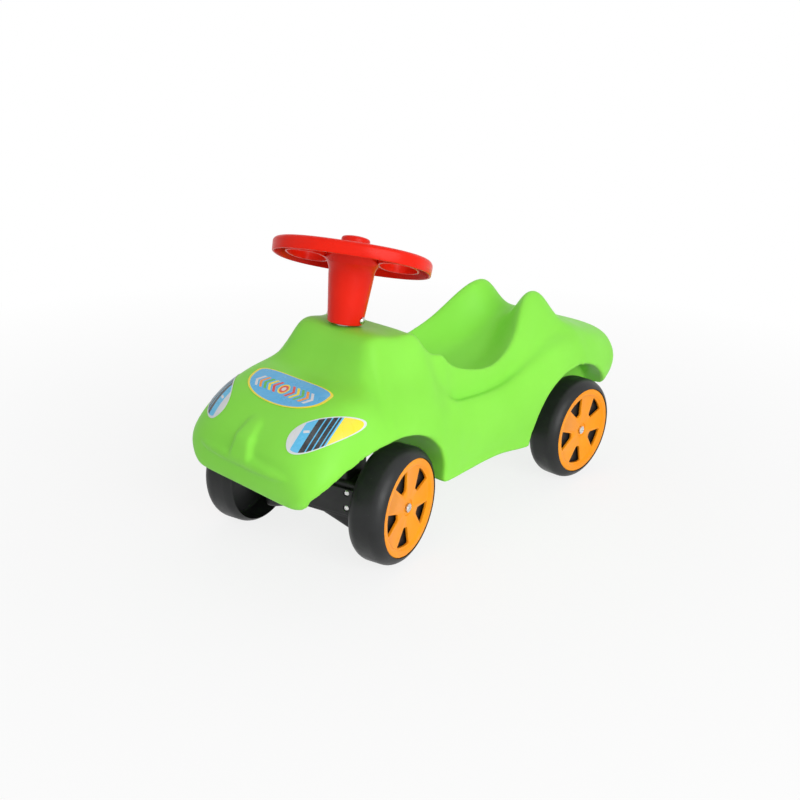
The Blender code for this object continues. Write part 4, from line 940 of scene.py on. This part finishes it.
def makeSteeringWheel():
    piece = makeRim(rim)
    for side in (-1, 1):
        lip = prism("lip", gripOutline(side, rim["lip"]), -rim["lipDrop"], -rim["plate"] / 2)
        combine(piece, place(lip, rimFrame()), "UNION")
    combine(piece, makeColumn(column), "UNION")
    for number in range(column["ribs"]):
        combine(piece, makeRib(column, number), "UNION")
    for side in (-1, 1):
        window = prism("window", gripOutline(side), -rim["gripCut"], rim["gripCut"])
        combine(piece, place(window, rimFrame()))
    pocket = rod("pocket", horn["radius"] + horn["room"], -horn["pocket"], horn["pocketTop"], sides["round"])
    combine(piece, place(pocket, rimFrame()))
    breakEdges(piece, rim["fineEdge"])
    smoothShade(piece)
    dress(piece, red, "steering", "steering_red", "steering_wheel")


def makeHorn(size):
    top, wall, r, edge = (size[key] for key in ("proud", "wall", "radius", "edge"))
    foot = top - size["depth"]
    profile = [(size["middle"], top + wall * size["crown"])]
    profile += [(r * across, top + wall * up) for across, up in size["rows"]]
    profile += arcPoints((r - edge, top - edge), edge, size["edgeTurn"], 0, size["edgeSteps"])
    profile += [(r, foot), (r - wall, foot), (r - wall, top - wall * size["roofSide"])]
    profile.append((size["middle"], top - wall * size["roofMiddle"]))
    button = turnedPiece("horn_cap", profile, sides["round"])
    smoothShade(button)
    dress(place(button, rimFrame()), red, "horn", "steering_red", "horn_button")


def makeBolt(size):
    reach, long = column["footR"] + size["clear"], size["nutLong"]
    piece = rod("bolt_through_column", size["shankR"], -reach - long, reach + long / 2, sides["screw"])
    head = [(radius, reach + height) for radius, height in size["head"]]
    combine(piece, turnedPiece("head", head, sides["rod"], "capped"), "UNION")
    smoothShade(place(piece, boltFrame()), "soft")
    dress(piece, steel, "steering", "steel", "column_bolt")
    rings = [(radius, height - reach - long) for radius, height in size["nut"]]
    nut = turnedPiece("hex_nut", rings, sides["nut"], "capped")
    combine(nut, rod("thread", size["holeR"], -size["threadCut"], size["threadCut"], sides["screw"]))
    smoothShade(place(nut, boltFrame()), "crisp")
    dress(nut, steel, "steering", "steel", "column_nut")


makeSteeringWheel()
makeHorn(horn)
makeBolt(bolt)
print("steering wheel made")


# Front axle carrier under the chin, and the small nodes that keep their construction mesh

carrier = {
    "half": 0.0700, "front": 0.020, "rear": 0.016, "up": 0.022, "down": 0.026, "edge": 0.004,
    "towerHalf": 0.048, "towerFoot": 0.010, "towerUp": 0.060, "towerBack": 0.0286, "stemR": 0.014,
    "stemTop": 0.08237, "stemPad": 0.0022, "lugStep": 0.001, "lugTop": 0.010, "lugRound": 0.006,
    "droop": ((0.012, 0.0264), (0.034, 0.0335), (0.055, 0.0405), (0.069, 0.0425)),
    "boreR": 0.0042, "groove": 0.0043, "screwX": 0.052, "screwZ": 0.0095, "screwR": 0.0021,
    "screwFrom": 0.0103, "pinR": 0.0022, "pinAt": 0.06687, "segments": 5,
}


def makeLug(size, side, rear):  # the arm hangs lower towards the wheel
    front, back, top = size["lugStep"] - size["front"], rear - size["lugStep"], -size["lugTop"]
    rings = []
    for x, down in size["droop"]:
        corners = ((front, -down), (back, -down), (back, top), (front, top))
        rings.append([(side * x, y, z) for y, z in corners])
    lug = ringLoft("lug", rings)
    roundEdges(lug, size["lugRound"], size["segments"])
    return lug


def makeCarrier(size):
    rear = size["rear"] + steering["axleLead"] - size["edge"]
    beam = addBox("carrier", (-size["half"], -size["front"], -size["down"]), (size["half"], rear, size["up"]))
    roundEdges(beam, size["edge"], size["segments"])
    tower = addBox(
        "tower", (-size["towerHalf"], -size["rear"], size["towerFoot"]),
        (size["towerHalf"], size["towerBack"], size["towerUp"])
    )
    roundEdges(tower, size["edge"], size["segments"])
    combine(beam, tower, "UNION")
    for side in (-1, 1):
        combine(beam, makeLug(size, side, rear), "UNION")
    place(beam, frontAxleFrame())
    stem = rod("stem", size["stemR"], -size["down"] - size["stemPad"], size["stemTop"], sides["seat"])
    combine(beam, place(stem, steerFrame()), "UNION")
    combine(beam, place(rod("bore", size["boreR"], -past, past, sides["rod"]), steerFrame()))
    groove = addBox("groove", (-past, -past, -size["groove"]), (past, size["groove"], size["groove"]))
    combine(beam, place(groove, frontAxleFrame()))
    for x in (-size["screwX"], size["screwX"]):
        for z in (-size["screwZ"], size["screwZ"]):
            hole = rod("hole", size["screwR"], size["screwFrom"], past, sides["screw"])
            combine(beam, place(hole, frontAxleFrame() @ (Matrix.Translation((x, 0, z)) @ turned(90, "X"))))
    pin = rod("pin", size["pinR"], -past, past, sides["screw"])
    combine(beam, place(pin, steerFrame(size["pinAt"]) @ turned(90, "Y")))
    smoothShade(beam, "crisp")
    dress(beam, darkPlastic, "steering", "black_plastic", "axle_carrier")


corners = [f"{end}_{side}" for end in ("front", "rear") for side in ("left", "right")]
darkNodes = ["carrier_clamp", "horn_squeaker"] + [f"{corner}_spacer" for corner in corners]
whiteNodes = ["shaft_upper_bush", "shaft_lower_bush", "rear_left_bush", "rear_right_bush"]
steelNodes = ["steering_shaft", "carrier_pin", "thrust_washer", "shaft_washer", "shaft_clip"]
steelNodes += ["front_axle", "rear_axle"] + [f"carrier_screw_{number}" for number in range(1, 5)]

makeCarrier(carrier)
for finish, names in ((darkPlastic, darkNodes), (white, whiteNodes), (steel, steelNodes)):
    for name in names:
        cadNodes[name].data.materials.clear()
        cadNodes[name].data.materials.append(finish)
print("carrier made")


# Printed films: lamp graphics on the front corners and a striped plate on the hood, prints in millimetres

film = {
    "thick": 0.00025, "gap": 0.0003, "lift": 0.05, "rings": 14, "points": 96,
    "blue": (0.09, 0.47, 0.84), "sky": (0.10, 0.53, 0.85), "yellow": (0.95, 0.78, 0.02),
    "ink": (0.012, 0.013, 0.016), "paper": (0.72, 0.74, 0.76), "tomato": (0.80, 0.06, 0.03),
    "leaf": (0.12, 0.52, 0.07), "amber": (0.95, 0.33, 0.02),
    "dust": (55.0, 5.0), "dustSpan": (0.35, 0.7), "dustLimits": (0.0, 0.10), "dustColour": (0.55, 0.60, 0.60),
    "shine": (70.0, 4.0), "shineSpan": (0.3, 0.7), "gloss": (0.22, 0.36),
    "waves": (60.0, 0.0004, 2.0, 0.6), "specular": 0.45,  # waves: scale, depth, detail and strength
}
lamp = {
    "at": (0.091, -0.262, 0.184), "way": (0.95, -1, 0.9), "halfX": 0.042, "halfY": 0.0165, "power": 2.3,
    "taper": 0.38, "sweep": 0.30, "slope": 0.55, "yellowFrom": 9.0, "ink": (-16.0, 7.0), "slatShift": 60.0,
    "slatStep": 3.2, "slatHalf": 0.7, "slats": (-13.5, 4.5), "paperTo": -27.0, "glintRow": (-1.4, 1.4),
    "glint": (-24.0, -17.5), "border": 0.93,
}
plate = {
    "at": (0, -0.241, 0.204), "way": (0, -0.35, 1), "halfX": 0.063, "up": 0.013, "upPower": 4.5,
    "down": 0.033, "downPower": 2.2, "shift": 0.009, "middle": 1.0, "slope": 0.8, "rows": (-9.5, 7.5),
    "bands": ((14.0, "tomato"), (21.5, "yellow"), (29.0, "leaf"), (36.5, "amber"), (44.0, "paper")),
    "bandWide": 4.2, "dots": ((7.6, "yellow"), (5.9, "tomato"), (3.0, "paper")), "border": 0.94,
}


def facing(point, way, up):
    z = Vector(way).normalized()
    x = Vector(up).cross(z).normalized()
    y = z.cross(x)
    return Matrix.Translation(point) @ Matrix((x, y, z)).transposed().to_4x4()


def lampOutline(look, side):
    points = []
    for x, y in squircle(look["halfX"], look["halfY"], look["power"], film["points"]):
        points.append((side * x, y * (1 - look["taper"] * x / look["halfX"]) + look["sweep"] * x))
    return points


def plateOutline(look):
    points = []
    for i in range(film["points"]):
        angle = 2 * math.pi * i / film["points"]
        c, s = math.cos(angle), math.sin(angle)
        power, tall = (look["upPower"], look["up"]) if s > 0 else (look["downPower"], look["down"])
        points.append((squared(c, power) * look["halfX"], squared(s, power) * tall + look["shift"]))
    return points


def addSheet(name, outline, side):  # flat, with its print's coordinates and each point's share of the way out
    count, rings = len(outline), film["rings"]
    middle = Vector((sum(x for x, y in outline) / count, sum(y for x, y in outline) / count, 0.0))
    loops = []
    for i in range(rings):
        share = 1 - i / rings
        loops.append([middle + (Vector((x, y, 0.0)) - middle) * share for x, y in outline])
    sheet = ringLoft(name, loops, "open")
    pick(sheet)
    bpy.ops.object.mode_set(mode="EDIT")
    bpy.ops.mesh.select_mode(type="VERT")
    bpy.ops.mesh.select_all(action="DESELECT")
    mesh = bmesh.from_edit_mesh(sheet.data)
    mesh.loops.layers.uv.new("print")
    edgeShare = mesh.verts.layers.float.new("edgeShare")
    mesh.verts.ensure_lookup_table()
    for vert in mesh.verts:
        ring = vert.index // count
        vert[edgeShare] = 1 - ring / rings
        vert.select = ring == rings - 1
    mesh.select_flush(True)
    bmesh.update_edit_mesh(sheet.data)
    bpy.ops.mesh.edge_face_add()  # closes the hole in the middle
    mesh = bmesh.from_edit_mesh(sheet.data)
    layer = mesh.loops.layers.uv["print"]
    for face in mesh.faces:
        for corner in face.loops:
            corner[layer].uv = (side * corner.vert.co.x / mm, corner.vert.co.y / mm)
    bmesh.update_edit_mesh(sheet.data)
    faceOut()
    if sheet.data.polygons[0].normal.z < 0:
        sheet.data.flip_normals()
    return sheet


def makeFilm(name, outline, frameAt, finish, replaced, side=1):
    sheet = addSheet(name, outline, side)
    sheet.matrix_world = frameAt @ Matrix.Translation((0, 0, film["lift"]))
    applyModifier(
        sheet, "wrap", "SHRINKWRAP", target=body, wrap_method="PROJECT", use_project_z=True,
        use_negative_direction=True, use_positive_direction=False, wrap_mode="ABOVE_SURFACE",
        offset=film["gap"]
    )
    applyModifier(sheet, "sheet", "SOLIDIFY", thickness=film["thick"], offset=1.0)
    pick(sheet)
    bpy.ops.object.transform_apply(location=True, rotation=True, scale=True)
    smoothShade(sheet, "soft")
    dress(sheet, finish, "root", "printed_film", replaced)


def filmTree(name):
    material, tree, shader = newFinish(name)
    uvMap = tree.nodes.new("ShaderNodeUVMap")
    uvMap.uv_map = "print"
    split = tree.nodes.new("ShaderNodeSeparateXYZ")
    tree.links.new(uvMap.outputs["UV"], split.inputs[0])
    share = tree.nodes.new("ShaderNodeAttribute")
    share.attribute_name = "edgeShare"
    return material, tree, shader, split.outputs["X"], split.outputs["Y"], share.outputs["Fac"]


def finishFilm(tree, shader, colour):
    dust = spread(tree, noise(tree, *film["dust"]), film["dustSpan"], film["dustLimits"])
    tree.links.new(blendColour(tree, dust, colour, film["dustColour"]), shader.inputs["Base Color"])
    gloss = spread(tree, noise(tree, *film["shine"]), film["shineSpan"], film["gloss"])
    tree.links.new(gloss, shader.inputs["Roughness"])
    tree.links.new(bumps(tree, *film["waves"]), shader.inputs["Normal"])
    shader.inputs["Specular IOR Level"].default_value = film["specular"]


def between(tree, value, low, high):
    above = calc(tree, "GREATER_THAN", value, low)
    return calc(tree, "MULTIPLY", above, calc(tree, "LESS_THAN", value, high))


def lampFinish(look):
    material, tree, shader, u, v, share = filmTree("lamp_film")
    slant = calc(tree, "SUBTRACT", u, calc(tree, "MULTIPLY", v, look["slope"]))
    stripe = calc(tree, "PINGPONG", calc(tree, "ADD", slant, look["slatShift"]), look["slatStep"])
    slats = calc(tree, "LESS_THAN", stripe, look["slatHalf"])
    glint = calc(tree, "MULTIPLY", between(tree, v, *look["glintRow"]), between(tree, u, *look["glint"]))
    paints = (
        (calc(tree, "GREATER_THAN", slant, look["yellowFrom"]), "yellow"),
        (between(tree, slant, *look["ink"]), "ink"),
        (calc(tree, "MULTIPLY", slats, between(tree, slant, *look["slats"])), "sky"),
        (calc(tree, "LESS_THAN", slant, look["paperTo"]), "paper"),
        (glint, "paper"),
        (calc(tree, "GREATER_THAN", share, look["border"]), "paper"),
    )
    colour = film["sky"]
    for mask, paint in paints:
        colour = blendColour(tree, mask, colour, film[paint])
    finishFilm(tree, shader, colour)
    return material


def plateFinish(look):
    material, tree, shader, u, v, share = filmTree("plate_film")
    level = calc(tree, "ADD", v, look["middle"])
    rise = calc(tree, "MULTIPLY", calc(tree, "ABSOLUTE", level), look["slope"])
    arrow = calc(tree, "ADD", calc(tree, "ABSOLUTE", u), rise)
    inside = between(tree, v, *look["rows"])
    squares = calc(tree, "ADD", calc(tree, "MULTIPLY", u, u), calc(tree, "POWER", level, 2.0))
    out = calc(tree, "SQRT", squares)
    colour = film["blue"]
    for low, paint in look["bands"]:
        band = calc(tree, "MULTIPLY", between(tree, arrow, low, low + look["bandWide"]), inside)
        colour = blendColour(tree, band, colour, film[paint])
    for radius, paint in look["dots"]:
        colour = blendColour(tree, calc(tree, "LESS_THAN", out, radius), colour, film[paint])
    colour = blendColour(tree, calc(tree, "GREATER_THAN", share, look["border"]), colour, film["yellow"])
    finishFilm(tree, shader, colour)
    return material


def makeFilms():
    finish = lampFinish(lamp)
    for side, word in ((1, "left"), (-1, "right")):
        mirrored = Vector((side, 1, 1))
        spot = facing(Vector(lamp["at"]) * mirrored, Vector(lamp["way"]) * mirrored, (0, 0, 1))
        makeFilm(f"lamp_film_{word}", lampOutline(lamp, side), spot, finish, f"lamp_decal_{word}", side)
    spot = facing(plate["at"], plate["way"], (0, 1, 0))
    makeFilm("hood_film", plateOutline(plate), spot, plateFinish(plate), "hood_decal")


makeFilms()
print("films made")
